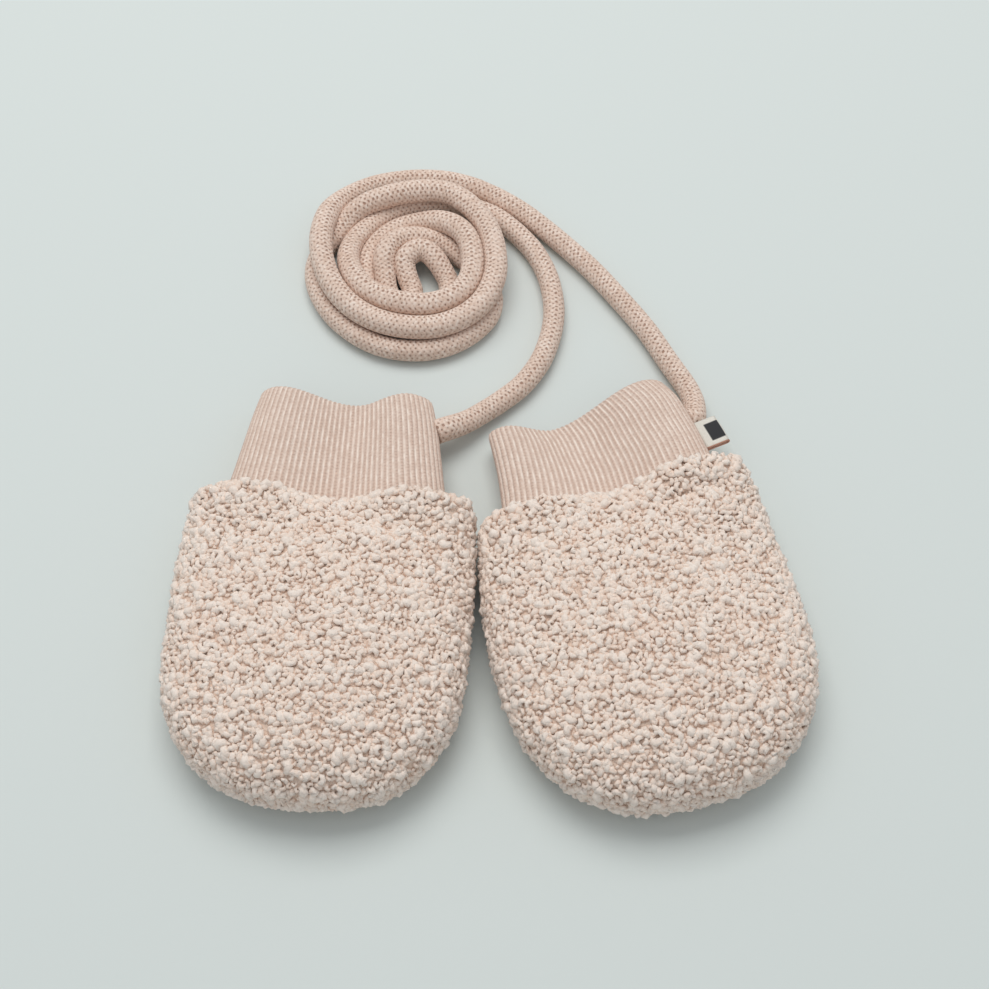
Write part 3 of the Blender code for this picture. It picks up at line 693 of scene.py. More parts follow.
def rib_material(knit, heather):
    """Rib knit: crests flecked by their stitches in a painted highlight, with painted pinker shade in
    the furrows between them and in the stitch holes.
    """
    material, writer, shader = new_material("rib_knit")
    uv = writer.add("ShaderNodeUVMap", uv_map="UVMap").outputs["UV"]
    stitches = place_group(writer, knit, {"Stitches": uv, "Hole Size": 0.4})
    yarn = spin_yarn(writer, heather, RIB_YARN)
    parts = writer.add("ShaderNodeSeparateXYZ", {0: uv})
    round_turn = writer.math("MULTIPLY", parts.outputs["X"], 2.0 * math.pi)
    crest = writer.math("COSINE", round_turn)
    fleck_place = writer.add("ShaderNodeCombineXYZ", {
        0: writer.math("MULTIPLY", parts.outputs["X"], 1.7),
        1: writer.math("MULTIPLY", parts.outputs["Y"], 0.4)})
    flecks = writer.add("ShaderNodeTexNoise", {"Vector": fleck_place.outputs[0], "Scale": 1.0,
                                               "Detail": 2.0})
    # painted highlight: the crest colour, broken up by flecks, laid only on the rib crests
    light = writer.math("MULTIPLY", writer.smooth_range(flecks.outputs["Fac"], 0.4, 0.65, 0.2, 0.8),
                        writer.smooth_range(crest, 0.1, 0.9))
    colour = writer.mix(light, yarn.outputs["Color"], RIB_CREST_HIGHLIGHT)
    # painted shade darkening the furrows between the ribs
    furrow = writer.smooth_range(crest, 0.0, -1.0, 0.0, 0.55)
    colour = writer.mix(furrow, colour, RIB_FURROW_SHADE)
    # painted shade in the stitch holes
    hole = writer.math("MULTIPLY", stitches.outputs["Hole"], 0.2)
    colour = writer.mix(hole, colour, RIB_HOLE_SHADE)
    height = writer.math("ADD", stitches.outputs["Height"],
                         writer.math("MULTIPLY", yarn.outputs["Fibres"], 0.5))
    finish_cloth(writer, shader, colour, height, RIB_RELIEF, 0.9, 0.1)
    return material


def cord_material(knit, heather):
    """The cord's knit: slanting legs of yarn with a painted highlight, and painted shade between them
    and in the brown uneven holes between them.
    """
    material, writer, shader = new_material("cord_knit")
    uv = writer.add("ShaderNodeUVMap", uv_map="UVMap").outputs["UV"]
    stitches = place_group(writer, knit, {"Stitches": uv, "Hole Size": 0.38, "Waver": 0.5,
                                          "Unevenness": 1.2, "Line Strength": 0.4})
    yarn = spin_yarn(writer, heather, CORD_YARN)
    # painted highlight on the raised side of the legs
    lit = writer.math("MULTIPLY", writer.smooth_range(stitches.outputs["Leg"], 0.2, 1.0, 0.0, 0.7),
                      writer.smooth_range(yarn.outputs["Fibres"], 0.4, 0.65))
    colour = writer.mix(lit, yarn.outputs["Color"], CORD_LIT)
    # painted shade in the grooves between the legs
    between = writer.smooth_range(stitches.outputs["Leg"], 0.0, -1.0, 0.0, 0.2)
    colour = writer.mix(between, colour, CORD_GROOVE_SHADE)
    # painted shade in the stitch holes
    hole = writer.math("MULTIPLY", stitches.outputs["Hole"], 0.75)
    colour = writer.mix(hole, colour, CORD_HOLE_SHADE)
    height = writer.math("ADD", stitches.outputs["Height"],
                         writer.math("MULTIPLY", yarn.outputs["Fibres"], 0.6))
    finish_cloth(writer, shader, colour, height, CORD_RELIEF, 0.9, 0.1)
    return material


def curl_material(heather):
    """Teddy pile: soft cream locks, each a little different at random, with warm shade painted over
    their low roots.
    """
    material, writer, shader = new_material("teddy_curls")
    height = writer.add("ShaderNodeAttribute", attribute_name="height").outputs["Fac"]
    tone = writer.add("ShaderNodeAttribute", attribute_name="tone").outputs["Fac"]
    yarn = spin_yarn(writer, heather, CURL_YARN)
    bright = writer.smooth_range(tone, 0.3, 1.0, 0.0, 0.5)
    colour = writer.mix(bright, yarn.outputs["Color"], CURL_TOP)
    # painted shade: the curls darken towards their roots, low in the pile
    root = writer.smooth_range(height, 0.05, 0.7, 0.8, 0.0)
    colour = writer.mix(root, colour, CURL_ROOT_SHADE)
    finish_cloth(writer, shader, colour, yarn.outputs["Fibres"], CURL_RELIEF, 0.95, 0.2)
    return material


def backing_material(heather):
    """The fleece's knitted backing, seen only between the curls, in a darker tan that paints the
    shade of those crevices.
    """
    material, writer, shader = new_material("fleece_backing")
    # the backing's darker tan is painted shade for the crevices between the curls
    yarn = spin_yarn(writer, heather, BACKING_YARN_AND_SHADE)
    finish_cloth(writer, shader, yarn.outputs["Color"], yarn.outputs["Fibres"], BACKING_RELIEF,
                 0.95, 0.1)
    return material


def tape_material(heather):
    """The label's woven tape, cream, with a plain charcoal band on the side that shows, and reddish
    painted shade along one side edge, in the gap between the loop's two layers.
    """
    material, writer, shader = new_material("label_tape")
    uv = writer.add("ShaderNodeUVMap", uv_map="UVMap").outputs["UV"]
    yarn = spin_yarn(writer, heather, TAPE_YARN)
    parts = writer.add("ShaderNodeSeparateXYZ", {0: uv})
    warp = writer.math("SINE", writer.math("MULTIPLY", parts.outputs["X"], 2.0 * math.pi * TAPE_WARP))
    weft = writer.math("SINE", writer.math("MULTIPLY", parts.outputs["Y"], 2.0 * math.pi * TAPE_WEFT))
    weave = writer.math("MULTIPLY", warp, weft)
    in_band = writer.math("MULTIPLY", writer.smooth_range(parts.outputs["Y"], 0.11, 0.13),
                          writer.smooth_range(parts.outputs["Y"], 0.37, 0.35))
    across = writer.math("MULTIPLY", writer.smooth_range(parts.outputs["X"], 0.16, 0.20),
                         writer.smooth_range(parts.outputs["X"], 0.84, 0.80))
    band = writer.math("MULTIPLY", in_band, across)
    colour = writer.mix(band, yarn.outputs["Color"], TAPE_BAND)
    # painted shade: reddish dark along one side edge, where the gap between the loop's two layers
    # lies
    edge = writer.smooth_range(parts.outputs["X"], 0.05, 0.02, 0.0, 0.8)
    colour = writer.mix(edge, colour, TAPE_GAP_SHADE)
    finish_cloth(writer, shader, colour, weave, TAPE_RELIEF, 0.8, 0.1)
    return material


def table_material():
    """A plain pale table."""
    material, _, shader = new_material("pale_table")
    shader.inputs["Base Color"].default_value = TABLE_COLOUR
    shader.inputs["Roughness"].default_value = 0.9
    shader.inputs["Specular IOR Level"].default_value = 0.1
    return material


# Fleece

def turned_in(face, full_face):
    """The backing's inner face, brought in to the cuff over the rows next to the seam."""
    turned = list(face)
    for row in range(SEAM_TURN_ROWS):
        share = 1.0 - row / SEAM_TURN_ROWS
        turned[row] = [place.lerp(full, share) for place, full in zip(face[row], full_face[row])]
    return turned


def make_backing(mitten, upper, material):
    """A panel's knitted backing: a thin closed shell, turned in where it is sewn to the cuff."""
    mesh_builder = bmesh.new()
    layers = []
    full_face, _ = panel_grid(mitten, upper, FLEECE_WALL, BACKING_STEP)
    for inset in (PILE_DEPTH, PILE_DEPTH + BACKING):
        grid, pole = panel_grid(mitten, upper, inset, BACKING_STEP)
        if inset > PILE_DEPTH:
            grid = turned_in(grid, full_face)
        layers.append(([[mesh_builder.verts.new(place) for place in line] for line in grid],
                       mesh_builder.verts.new(pole)))
    for grid, pole in layers:
        for near, far in zip(grid, grid[1:]):
            for k in range(len(near) - 1):
                mesh_builder.faces.new((near[k], near[k + 1], far[k + 1], far[k]))
        for k in range(len(grid[-1]) - 1):
            mesh_builder.faces.new((grid[-1][k], grid[-1][k + 1], pole))
    (outer, outer_pole), (inner, inner_pole) = layers
    for edge in (0, -1):
        outside = [line[edge] for line in outer] + [outer_pole]
        inside = [line[edge] for line in inner] + [inner_pole]
        for k in range(len(outside) - 1):
            mesh_builder.faces.new((outside[k], outside[k + 1], inside[k + 1], inside[k]))
    for k in range(len(outer[0]) - 1):
        mesh_builder.faces.new((outer[0][k], outer[0][k + 1], inner[0][k + 1], inner[0][k]))
    bmesh.ops.recalc_face_normals(mesh_builder, faces=mesh_builder.faces)
    mesh = bpy.data.meshes.new("backing")
    mesh_builder.to_mesh(mesh)
    mesh_builder.free()
    return add_piece(f"{mitten.name}_{'top' if upper else 'bottom'}_fleece", mesh, material)


def make_lock(name, seed, is_thick):
    """One lock of pile: a rounded curl that rises from its root, winds round and comes down."""
    rng = random.Random(seed)
    length = rng.uniform(*LOCK_LENGTH) * MM
    rise = rng.uniform(*(THICK_RISE if is_thick else THIN_RISE)) * MM
    thick = rng.uniform(*(THICK_RADIUS if is_thick else THIN_RADIUS)) * MM
    bend = math.radians(rng.uniform(*LOCK_BEND)) * rng.choice((-1.0, 1.0))
    spot = Vector((-0.4 * length, 0.0, 0.0))
    path = []
    for k in range(CURL_SEGMENTS + 1):
        share = k / CURL_SEGMENTS
        up = rise * math.sin(math.pi * (0.12 + 0.74 * share)) - LOCK_SUNK
        path.append(Vector((spot.x, spot.y, up)))
        turn = bend * (share + 0.5 / CURL_SEGMENTS - 0.3)
        spot += Vector((math.cos(turn), math.sin(turn), 0.0)) * (length / CURL_SEGMENTS)
    vertices, faces, heights = [], [], []
    for k, place in enumerate(path):
        along = (path[min(k + 1, CURL_SEGMENTS)] - path[max(k - 1, 0)]).normalized()
        side = along.cross(Vector((0.0, 0.0, 1.0))).normalized()
        other = side.cross(along)
        radius = thick * (0.5 + 0.5 * math.sin(math.pi * (0.06 + 0.84 * k / CURL_SEGMENTS)))
        for corner in range(CURL_SIDES):
            angle = 2.0 * math.pi * (corner + 0.5) / CURL_SIDES
            vertex = place + radius * (math.cos(angle) * side + math.sin(angle) * other)
            vertices.append(vertex)
            heights.append(min(max((vertex.z / MM + LOCK_LOW) / LOCK_SHADE_SPAN, 0.0), 1.0))
    for k in range(CURL_SEGMENTS):
        for corner in range(CURL_SIDES):
            a = k * CURL_SIDES + corner
            b = k * CURL_SIDES + (corner + 1) % CURL_SIDES
            faces.append((a, b, b + CURL_SIDES, a + CURL_SIDES))
    last = CURL_SEGMENTS * CURL_SIDES
    faces.append(tuple(range(CURL_SIDES))[::-1])
    faces.append(tuple(last + corner for corner in range(CURL_SIDES)))
    mesh = bpy.data.meshes.new(name)
    mesh.from_pydata(vertices, [], faces)
    mesh.attributes.new("height", "FLOAT", "POINT").data.foreach_set("value", heights)
    mesh_builder = bmesh.new()
    mesh_builder.from_mesh(mesh)
    bmesh.ops.recalc_face_normals(mesh_builder, faces=mesh_builder.faces)
    mesh_builder.to_mesh(mesh)
    mesh_builder.free()
    mesh.shade_smooth()
    return bpy.data.objects.new(name, mesh)


def pile_tree():
    """Geometry Nodes that set locks of pile on a surface, evenly apart and turned at random."""
    tree = bpy.data.node_groups.new("curly pile", "GeometryNodeTree")
    tree.interface.new_socket("Geometry", in_out="INPUT", socket_type="NodeSocketGeometry")
    tree.interface.new_socket("Geometry", in_out="OUTPUT", socket_type="NodeSocketGeometry")
    sockets = {}
    for name, kind, value in (("Spacing", "NodeSocketFloat", TOP_LOCK_SPACING),
                              ("Underside Share", "NodeSocketFloat", 0.3),
                              ("Tilt", "NodeSocketFloat", 0.25),
                              ("Least Size", "NodeSocketFloat", 0.85),
                              ("Most Size", "NodeSocketFloat", 1.3),
                              ("Tuft Growth", "NodeSocketFloat", 0.12),
                              ("Seed", "NodeSocketInt", 3),
                              ("Locks", "NodeSocketCollection", None),
                              ("Material", "NodeSocketMaterial", None)):
        socket = tree.interface.new_socket(name, in_out="INPUT", socket_type=kind)
        if value is not None:
            socket.default_value = value
        sockets[name] = socket.identifier
    writer = NodeWriter(tree)
    source = writer.add("NodeGroupInput").outputs
    normal = writer.add("ShaderNodeSeparateXYZ",
                        {0: writer.add("GeometryNodeInputNormal").outputs[0]})
    share = writer.add("ShaderNodeMapRange", {
        "Value": normal.outputs["Z"], "From Min": -0.95, "From Max": -0.6,
        "To Min": source["Underside Share"], "To Max": 1.0}).outputs["Result"]
    points = writer.add("GeometryNodeDistributePointsOnFaces", {
        "Mesh": source["Geometry"], "Distance Min": source["Spacing"],
        "Density Max": MOST_LOCKS, "Density Factor": share, "Seed": source["Seed"]},
        distribute_method="POISSON")
    tone = writer.add("FunctionNodeRandomValue", {"Seed": source["Seed"]}, data_type="FLOAT")
    toned = writer.add("GeometryNodeStoreNamedAttribute", {
        "Geometry": points.outputs["Points"], "Name": "tone", "Value": tone.outputs[1]},
        data_type="FLOAT", domain="POINT")
    least = writer.math("MULTIPLY", source["Tilt"], -1.0)
    low = writer.add("ShaderNodeCombineXYZ", {0: least, 1: least, 2: -math.pi})
    high = writer.add("ShaderNodeCombineXYZ", {0: source["Tilt"], 1: source["Tilt"], 2: math.pi})
    spin = writer.add("FunctionNodeRandomValue", {
        0: low.outputs[0], 1: high.outputs[0], "Seed": source["Seed"]}, data_type="FLOAT_VECTOR")
    turned = writer.add("FunctionNodeRotateRotation", {
        0: points.outputs["Rotation"],
        1: writer.add("FunctionNodeEulerToRotation", {0: spin.outputs[0]}).outputs[0]},
        rotation_space="LOCAL")
    size = writer.add("FunctionNodeRandomValue", {
        2: source["Least Size"], 3: source["Most Size"], "Seed": source["Seed"]},
        data_type="FLOAT")
    tuft = writer.add("GeometryNodeInputNamedAttribute", {"Name": "tuft"}, data_type="FLOAT")
    longer = writer.math("MULTIPLY", tuft.outputs[0], source["Tuft Growth"])
    scale = writer.math("MULTIPLY", size.outputs[1], writer.math("ADD", longer, 1.0))
    locks = writer.add("GeometryNodeCollectionInfo", {
        "Collection": source["Locks"], "Separate Children": True, "Reset Children": True})
    set_out = writer.add("GeometryNodeInstanceOnPoints", {
        "Points": toned.outputs["Geometry"], "Instance": locks.outputs["Instances"],
        "Pick Instance": True, "Rotation": turned.outputs[0], "Scale": scale})
    real = writer.add("GeometryNodeRealizeInstances", {0: set_out.outputs[0]})
    dressed = writer.add("GeometryNodeSetMaterial", {
        "Geometry": real.outputs[0], "Material": source["Material"]})
    writer.add("NodeGroupOutput", {0: dressed.outputs[0]})
    return tree, sockets


def pile_emitter(mitten, upper):
    """The face that the pile grows from, just inside a panel's backing."""
    grid, pole = panel_grid(mitten, upper, PILE_DEPTH + ROOT_DEPTH, ROOT_STEP)
    grid = grid[BARE_ROWS:]
    vertices, faces = [], []
    for line in grid:
        vertices.extend(line)
    count = len(grid[0])
    for row in range(len(grid) - 1):
        for k in range(count - 1):
            a = row * count + k
            faces.append((a, a + 1, a + 1 + count, a + count))
    vertices.append(pole)
    last = (len(grid) - 1) * count
    for k in range(count - 1):
        faces.append((last + k, last + k + 1, len(vertices) - 1))
    mesh = bpy.data.meshes.new("emitter")
    mesh.from_pydata(vertices, [], faces)
    tuft = mesh.attributes.new("tuft", "FLOAT", "POINT").data
    for row in range(len(grid)):
        for k in range(count):
            tuft[row * count + k].value = max(0.0, 1.0 - ROOT_STEP * row / TUFT_REACH)
    middle = mesh.polygons[len(mesh.polygons) // 2]
    if (middle.normal.z > 0.0) != upper:
        mesh.flip_normals()
    return mesh


def press_flat(mesh, start):
    """Squash what hangs below a height, so that it ends at the table."""
    count = len(mesh.vertices)
    places = np.empty(count * 3, dtype=np.float32)
    mesh.vertices.foreach_get("co", places)
    places = places.reshape(-1, 3)
    low = places[:, 2] < start
    places[low, 2] = start * np.exp((places[low, 2] - start) / start)
    mesh.vertices.foreach_set("co", places.ravel())
    mesh.update()


def make_curls(mitten, upper, tree, sockets, locks, material, seed):
    """A panel's pile, as one plain mesh."""
    name = f"{mitten.name}_{'top' if upper else 'bottom'}_curls"
    emitter = bpy.data.objects.new(name + "_emitter", pile_emitter(mitten, upper))
    bpy.context.scene.collection.objects.link(emitter)
    modifier = emitter.modifiers.new("curly pile", "NODES")
    modifier.node_group = tree
    spacing = TOP_LOCK_SPACING if upper else BOTTOM_LOCK_SPACING
    for key, value in (("Spacing", spacing), ("Seed", seed), ("Locks", locks),
                       ("Material", material)):
        modifier[sockets[key]] = value
    evaluated = emitter.evaluated_get(bpy.context.evaluated_depsgraph_get())
    mesh = bpy.data.meshes.new_from_object(evaluated)
    bpy.data.objects.remove(emitter, do_unlink=True)
    press_flat(mesh, PRESSED_BELOW)
    piece = add_piece(name, mesh, material)
    print(name, count_triangles(mesh), "triangles")
    return piece


# Rib cuffs

def even_turns(section, count):
    """Turns that part a section's outline into equal lengths, from the left fold."""
    fine = 1440
    turns = [math.pi + 2.0 * math.pi * k / fine for k in range(fine + 1)]
    points = [Vector(section_point(section, turn % (2.0 * math.pi), 0.0)[:2]) for turn in turns]
    lengths = [0.0]
    for here, there in zip(points, points[1:]):
        lengths.append(lengths[-1] + (there - here).length)
    wanted = np.arange(count) * lengths[-1] / count
    return [turn % (2.0 * math.pi) for turn in np.interp(wanted, lengths, turns)]


def cuff_folds(mitten, along):
    """A cuff's folds, which turn from the body's to the rim's."""
    share = along / (mitten.cuff[-1].along * MM)
    return Folds(*(body + (rim - body) * share
                   for body, rim in zip(BODY_FOLDS, mitten.rim_folds)))


def cuff_ring(mitten, along, depth, ribbed, count):
    """A ring of a cuff's points, at a depth inside the outer face."""
    row = row_at(mitten.cuff, along / MM)
    folds = cuff_folds(mitten, along)
    section = section_of(row, 0.25 * (row.left_top + row.right_top) * MM, folds)
    ring = []
    for index, turn in enumerate(even_turns(section, count)):
        rib_turn = 2.0 * math.pi * RIBS_ROUND * index / count
        furrow = RIB_DEPTH * (0.5 - 0.5 * math.cos(rib_turn)) ** 1.3 if ribbed else 0.0
        across, up, side = section_point(section, turn, depth + furrow)
        if up > section.seam:
            share = min(1.0, (up - section.seam) / (3.0 * MM))
            up -= crease_depth(mitten.cuff_creases, across, along) * share
        reach = row.lean * side + folds.reach * (fold_share(folds, side) - 0.5)
        toward_rim = along + reach * MM - seam_bow(across, along)
        ring.append(to_table(mitten, across, toward_rim, up))
    return ring


def make_cuff(mitten, material):
    """A doubled tube of rib: ribs outside, a rounded fold at the rim, plain within."""
    rim = mitten.cuff[-1].along * MM
    points_round = RIBS_ROUND * POINTS_PER_RIB
    rings, marks = [], []
    for k in range(CUFF_ROWS_OUTSIDE + 1):
        along = (rim - RIM_FOLD) * k / CUFF_ROWS_OUTSIDE
        rings.append(cuff_ring(mitten, along, 0.0, True, points_round))
        marks.append(along)
    for turn in RIM_TURNS:
        lean = math.radians(turn)
        out = RIB_WALL / 2.0 * (1.0 - math.cos(lean))
        along = rim - RIM_FOLD + RIM_FOLD * math.sin(lean)
        rings.append(cuff_ring(mitten, along, out, turn < 100.0, points_round))
        marks.append(rim - RIM_FOLD + RIM_FOLD * lean)
    for k in range(CUFF_ROWS_INSIDE + 1):
        along = (rim - RIM_FOLD) * (1.0 - k / CUFF_ROWS_INSIDE)
        rings.append(cuff_ring(mitten, along, RIB_WALL, False, points_round))
        marks.append(rim + 2.0 * RIM_FOLD + (rim - along))
    marks.append(marks[-1] + RIB_WALL)
    u_marks = np.linspace(0.0, RIBS_ROUND, points_round + 1) + 0.5
    v_marks = np.array(marks) / RIB_STITCH_HEIGHT
    mesh = lattice_mesh("cuff", np.array(rings), u_marks, v_marks, "loop")
    piece = add_piece(f"{mitten.name}_rib_cuff", mesh, material)
    print(piece.name, count_triangles(mesh), "triangles")
    return piece


# Cord

def coil_points(rows):
    """A spiral's points, worked out from its table by turning a little at a time."""
    count = round((rows[-1].angle - rows[0].angle) / COIL_POINT_ANGLE)
    points = []
    for k in range(count + 1):
        row = row_at(rows, rows[0].angle + (rows[-1].angle - rows[0].angle) * k / count)
        angle = math.radians(row.angle)
        points.append(COIL_MIDDLE + Vector((row.reach * math.cos(angle),
                                            row.reach * math.sin(angle), row.height)) * MM)
    return points


def cord_route():
    """The whole cord, from the left mitten through the coil to the right one."""
    route = [Vector(point) * MM for point in LEFT_ROUTE]
    route += coil_points(LEFT_SPIRAL)
    route += [Vector(point) * MM for point in MIDDLE_FOLD]
    route += coil_points(RIGHT_SPIRAL)[::-1]
    route += [Vector(point) * MM for point in RIGHT_ROUTE[::-1]]
    return route


def smooth_line(route, step):
    """Points about a step apart on a smooth curve through a route."""
    extended = [2 * route[0] - route[1]] + route + [2 * route[-1] - route[-2]]
    fine = []
    for k in range(1, len(extended) - 2):
        a, b, c, d = extended[k - 1:k + 3]
        for part in range(16):
            f = part / 16.0
            fine.append(0.5 * (2 * b + (c - a) * f + (2 * a - 5 * b + 4 * c - d) * f * f
                               + (3 * b - a - 3 * c + d) * f ** 3))
    fine.append(route[-1])
    fine = np.array(fine)
    lengths = np.concatenate([[0.0], np.cumsum(np.linalg.norm(np.diff(fine, axis=0), axis=1))])
    count = round(lengths[-1] / step)
    wanted = np.linspace(0.0, lengths[-1], count + 1)
    line = np.stack([np.interp(wanted, lengths, fine[:, axis]) for axis in range(3)], axis=-1)
    return line, wanted


def ease_apart(route):
    """The route with its strands pushed off each other where they would lie inside one another."""
    home, marks = smooth_line(route, CORD_ROW)
    line = home.copy()
    others = np.abs(marks[:, None] - marks[None, :]) > NEIGHBOUR_DIAMETERS * CORD_DIAMETER
    for _ in range(EASING_ROUNDS):
        away = line[:, None] - line[None, :]
        distance = np.maximum(np.linalg.norm(away, axis=2), 1e-9)
        short = np.where(others, np.maximum(PRESSED_APART - distance, 0.0), 0.0)
        push = (away / distance[..., None] * short[..., None]).sum(axis=1)
        pressing = np.maximum((short > 0.0).sum(axis=1), 1)
        move = line - home + EASING_SHARE * push / pressing[:, None]
        move[1:-1] = 0.25 * move[:-2] + 0.5 * move[1:-1] + 0.25 * move[2:]
        move[:HELD_POINTS] = 0.0
        move[-HELD_POINTS:] = 0.0
        line = home + move
        line[:, 2] = np.maximum(line[:, 2], CORD_RADIUS)
    return list(line)


def make_cord(material):
    """The knitted cord as one tube, its stitches' holes pressed in."""
    line, marks = smooth_line(ease_apart(cord_route()), CORD_ROW / STITCH_POINTS)
    print("cord length", round(float(marks[-1]), 4), "m")
    round_count = CORD_WALES * STITCH_POINTS
    u_marks = np.linspace(0.0, CORD_WALES, round_count + 1)
    v_marks = np.arange(len(line)) / STITCH_POINTS
    rings = []
    side = Vector((0.0, 0.0, 1.0))
    for k in range(len(line)):
        along = Vector(line[min(k + 1, len(line) - 1)] - line[max(k - 1, 0)]).normalized()
        side = (side - along * side.dot(along)).normalized()
        other = along.cross(side)
        raised = min(max((float(line[k][2]) / MM - 5.0) / 4.0, 0.0), 1.0)
        swell = CORD_SWELL * raised * raised * (3.0 - 2.0 * raised)
        ring = []
        for column in range(round_count):
            angle = 2.0 * math.pi * column / round_count
            lattice = math.sin(math.pi * u_marks[column]) * math.cos(2.0 * math.pi * v_marks[k])
            radius = CORD_RADIUS + swell - STITCH_HOLE_DEPTH * max(0.0, lattice) ** 2
            ring.append(Vector(line[k]) + radius * (math.cos(angle) * side
                                                    + math.sin(angle) * other))
        rings.append(ring)
    mesh = lattice_mesh("cord", np.array(rings), u_marks, np.append(v_marks, v_marks[-1]), "caps")
    piece = add_piece("knitted_cord", mesh, material)
    print(piece.name, count_triangles(mesh), "triangles")
    path = [tuple(float(c) for c in point) for point in line[::2]]
    if len(line) % 2 == 0:
        path.append(tuple(float(c) for c in line[-1]))
    return piece, path


# Label

def make_label(mitten, material):
    """The folded loop of tape, a little bowed."""
    bend_steps = 10
    outline = []
    flat_steps = 8
    bend_start = LABEL_REACH - LABEL_THICKNESS - LABEL_OPENING / 2.0
    for thickness, direction in ((LABEL_THICKNESS, 1), (0.0, -1)):
        half_gap = LABEL_OPENING / 2.0 + thickness
        side = [(bend_start * k / flat_steps, half_gap) for k in range(flat_steps)]
        for step in range(bend_steps + 1):
            turn = 0.5 * math.pi - math.pi * step / bend_steps
            side.append((bend_start + half_gap * math.cos(turn), half_gap * math.sin(turn)))
        side += [(bend_start * (1.0 - k / flat_steps), -half_gap)
                 for k in range(1, flat_steps + 1)]
        outline.extend(side[::direction])
    across_steps = 12
    rings = []
    for number in range(across_steps + 1):
        edge = number / across_steps - 0.5
        ring = []
        for out, up in outline:
            share = out / LABEL_REACH
            bow = 0.5 * MM * share * share * math.cos(math.pi * edge) - 0.25 * MM * share
            across = out * math.cos(LABEL_TURN) - edge * LABEL_WIDTH * math.sin(LABEL_TURN)
            along = out * math.sin(LABEL_TURN) + edge * LABEL_WIDTH * math.cos(LABEL_TURN)
            ring.append(to_table(mitten, LABEL_ACROSS + across, LABEL_ALONG + along,
                                 LABEL_HEIGHT + up + bow))
        rings.append(ring)
    points = np.array(rings)
    half = len(outline) // 2
    marks = np.concatenate([np.linspace(0.0, 1.0, half), np.linspace(1.0, 0.0, half), [0.0]])
    width_marks = np.linspace(0.0, 1.0, across_steps + 1)
    mesh_builder = bmesh.new()
    uv_layer = mesh_builder.loops.layers.uv.new("UVMap")
    verts = [[mesh_builder.verts.new(point) for point in ring] for ring in points]
    around = len(outline)
    for row in range(across_steps):
        for k in range(around):
            after = (k + 1) % around
            face = mesh_builder.faces.new((verts[row][k], verts[row][after],
                                           verts[row + 1][after], verts[row + 1][k]))
            corners = ((row, k), (row, k + 1), (row + 1, k + 1), (row + 1, k))
            for loop, (r, c) in zip(face.loops, corners):
                loop[uv_layer].uv = (width_marks[r], marks[c])
    for row, width in ((0, 0.0), (across_steps, 1.0)):
        for k in range(half - 1):
            face = mesh_builder.faces.new((verts[row][k], verts[row][k + 1],
                                           verts[row][around - 2 - k], verts[row][around - 1 - k]))
            for loop in face.loops:
                loop[uv_layer].uv = (width, 0.5)
    bmesh.ops.recalc_face_normals(mesh_builder, faces=mesh_builder.faces)
    mesh = bpy.data.meshes.new("label")
    mesh_builder.to_mesh(mesh)
    mesh_builder.free()
    return add_piece("woven_side_label", mesh, material)


# Table, light and camera

def make_table(material):
    """A wide pale table under the pair."""
    mesh = bpy.data.meshes.new("table")
    mesh.from_pydata([(-TABLE_REACH, -TABLE_REACH, 0.0), (TABLE_REACH, -TABLE_REACH, 0.0),
                      (TABLE_REACH, TABLE_REACH, 0.0), (-TABLE_REACH, TABLE_REACH, 0.0)],
                     [], [(0, 1, 2, 3)])
    table = add_piece("pale_table", mesh, material)


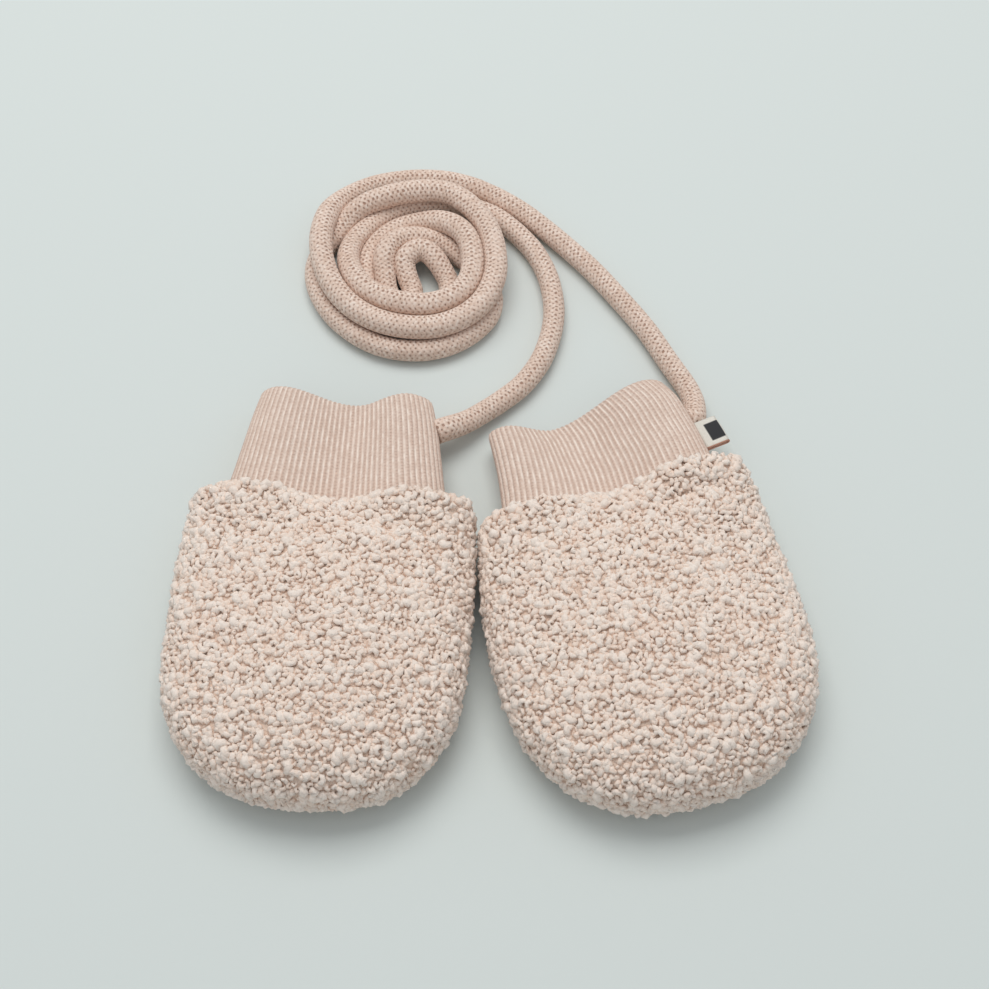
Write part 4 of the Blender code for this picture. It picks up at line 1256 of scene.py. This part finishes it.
def make_lights():
    """Soft daylight from above and behind, with a pale surround."""
    lamp = bpy.data.lights.new("soft_window", "AREA")
    lamp.shape = "RECTANGLE"
    lamp.size, lamp.size_y = LAMP_SIZE
    lamp.energy = LAMP_ENERGY
    lamp.color = LAMP_COLOUR
    window = bpy.data.objects.new("soft_window", lamp)
    window.location = LAMP_PLACE
    window.rotation_euler = (LAMP_AIM - LAMP_PLACE).to_track_quat("-Z", "Y").to_euler()
    bpy.context.scene.collection.objects.link(window)
    world = bpy.data.worlds.new("pale_surround")
    bpy.context.scene.world = world
    world.use_nodes = True
    surround = world.node_tree.nodes["Background"]
    surround.inputs["Color"].default_value = SURROUND_COLOUR
    surround.inputs["Strength"].default_value = SURROUND_STRENGTH


def make_camera():
    """The camera where the photograph was taken from."""
    data = bpy.data.cameras.new("camera")
    data.lens = CAMERA_LENS
    data.sensor_width = 36.0
    data.clip_start = 0.01
    camera = bpy.data.objects.new("camera", data)
    back = Vector((0.0, -math.cos(CAMERA_ELEVATION), math.sin(CAMERA_ELEVATION)))
    camera.location = CAMERA_AIM + CAMERA_DISTANCE * back
    camera.rotation_euler = (0.5 * math.pi - CAMERA_ELEVATION, 0.0, 0.0)
    bpy.context.scene.collection.objects.link(camera)
    bpy.context.scene.camera = camera


def main():
    bpy.context.scene.view_settings.view_transform = "Standard"
    make_camera()
    make_lights()
    make_table(table_material())
    knit, heather = knit_group(), heather_group()
    rib, cord_yarn = rib_material(knit, heather), cord_material(knit, heather)
    curls, backing = curl_material(heather), backing_material(heather)
    tape = tape_material(heather)

    cord, path = make_cord(cord_yarn)
    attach(cord, "root")
    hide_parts("cord_left", "cord_right", "cord_coil")

    locks = bpy.data.collections.new("locks of pile")
    for number in range(THICK_KINDS + THIN_KINDS):
        locks.objects.link(make_lock(f"lock_{number:02d}", FIRST_LOCK_SEED + number,
                                     number < THICK_KINDS))
    tree, sockets = pile_tree()
    seed = 1
    for mitten in (LEFT, RIGHT):
        for upper in (True, False):
            panel = "top" if upper else "bottom"
            shell = make_backing(mitten, upper, backing)
            pile = make_curls(mitten, upper, tree, sockets, locks, curls, seed)
            seed += 1
            for piece in (shell, pile):
                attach(piece, "root")
                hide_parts(f"{mitten.name}_{panel}_panel")
        cuff = make_cuff(mitten, rib)
        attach(cuff, "root")
        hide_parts(f"{mitten.name}_cuff")
    for lock in list(locks.objects):
        bpy.data.objects.remove(lock, do_unlink=True)
    bpy.data.collections.remove(locks)

    label = make_label(RIGHT, tape)
    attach(label, "root")
    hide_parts("side_label")


main()
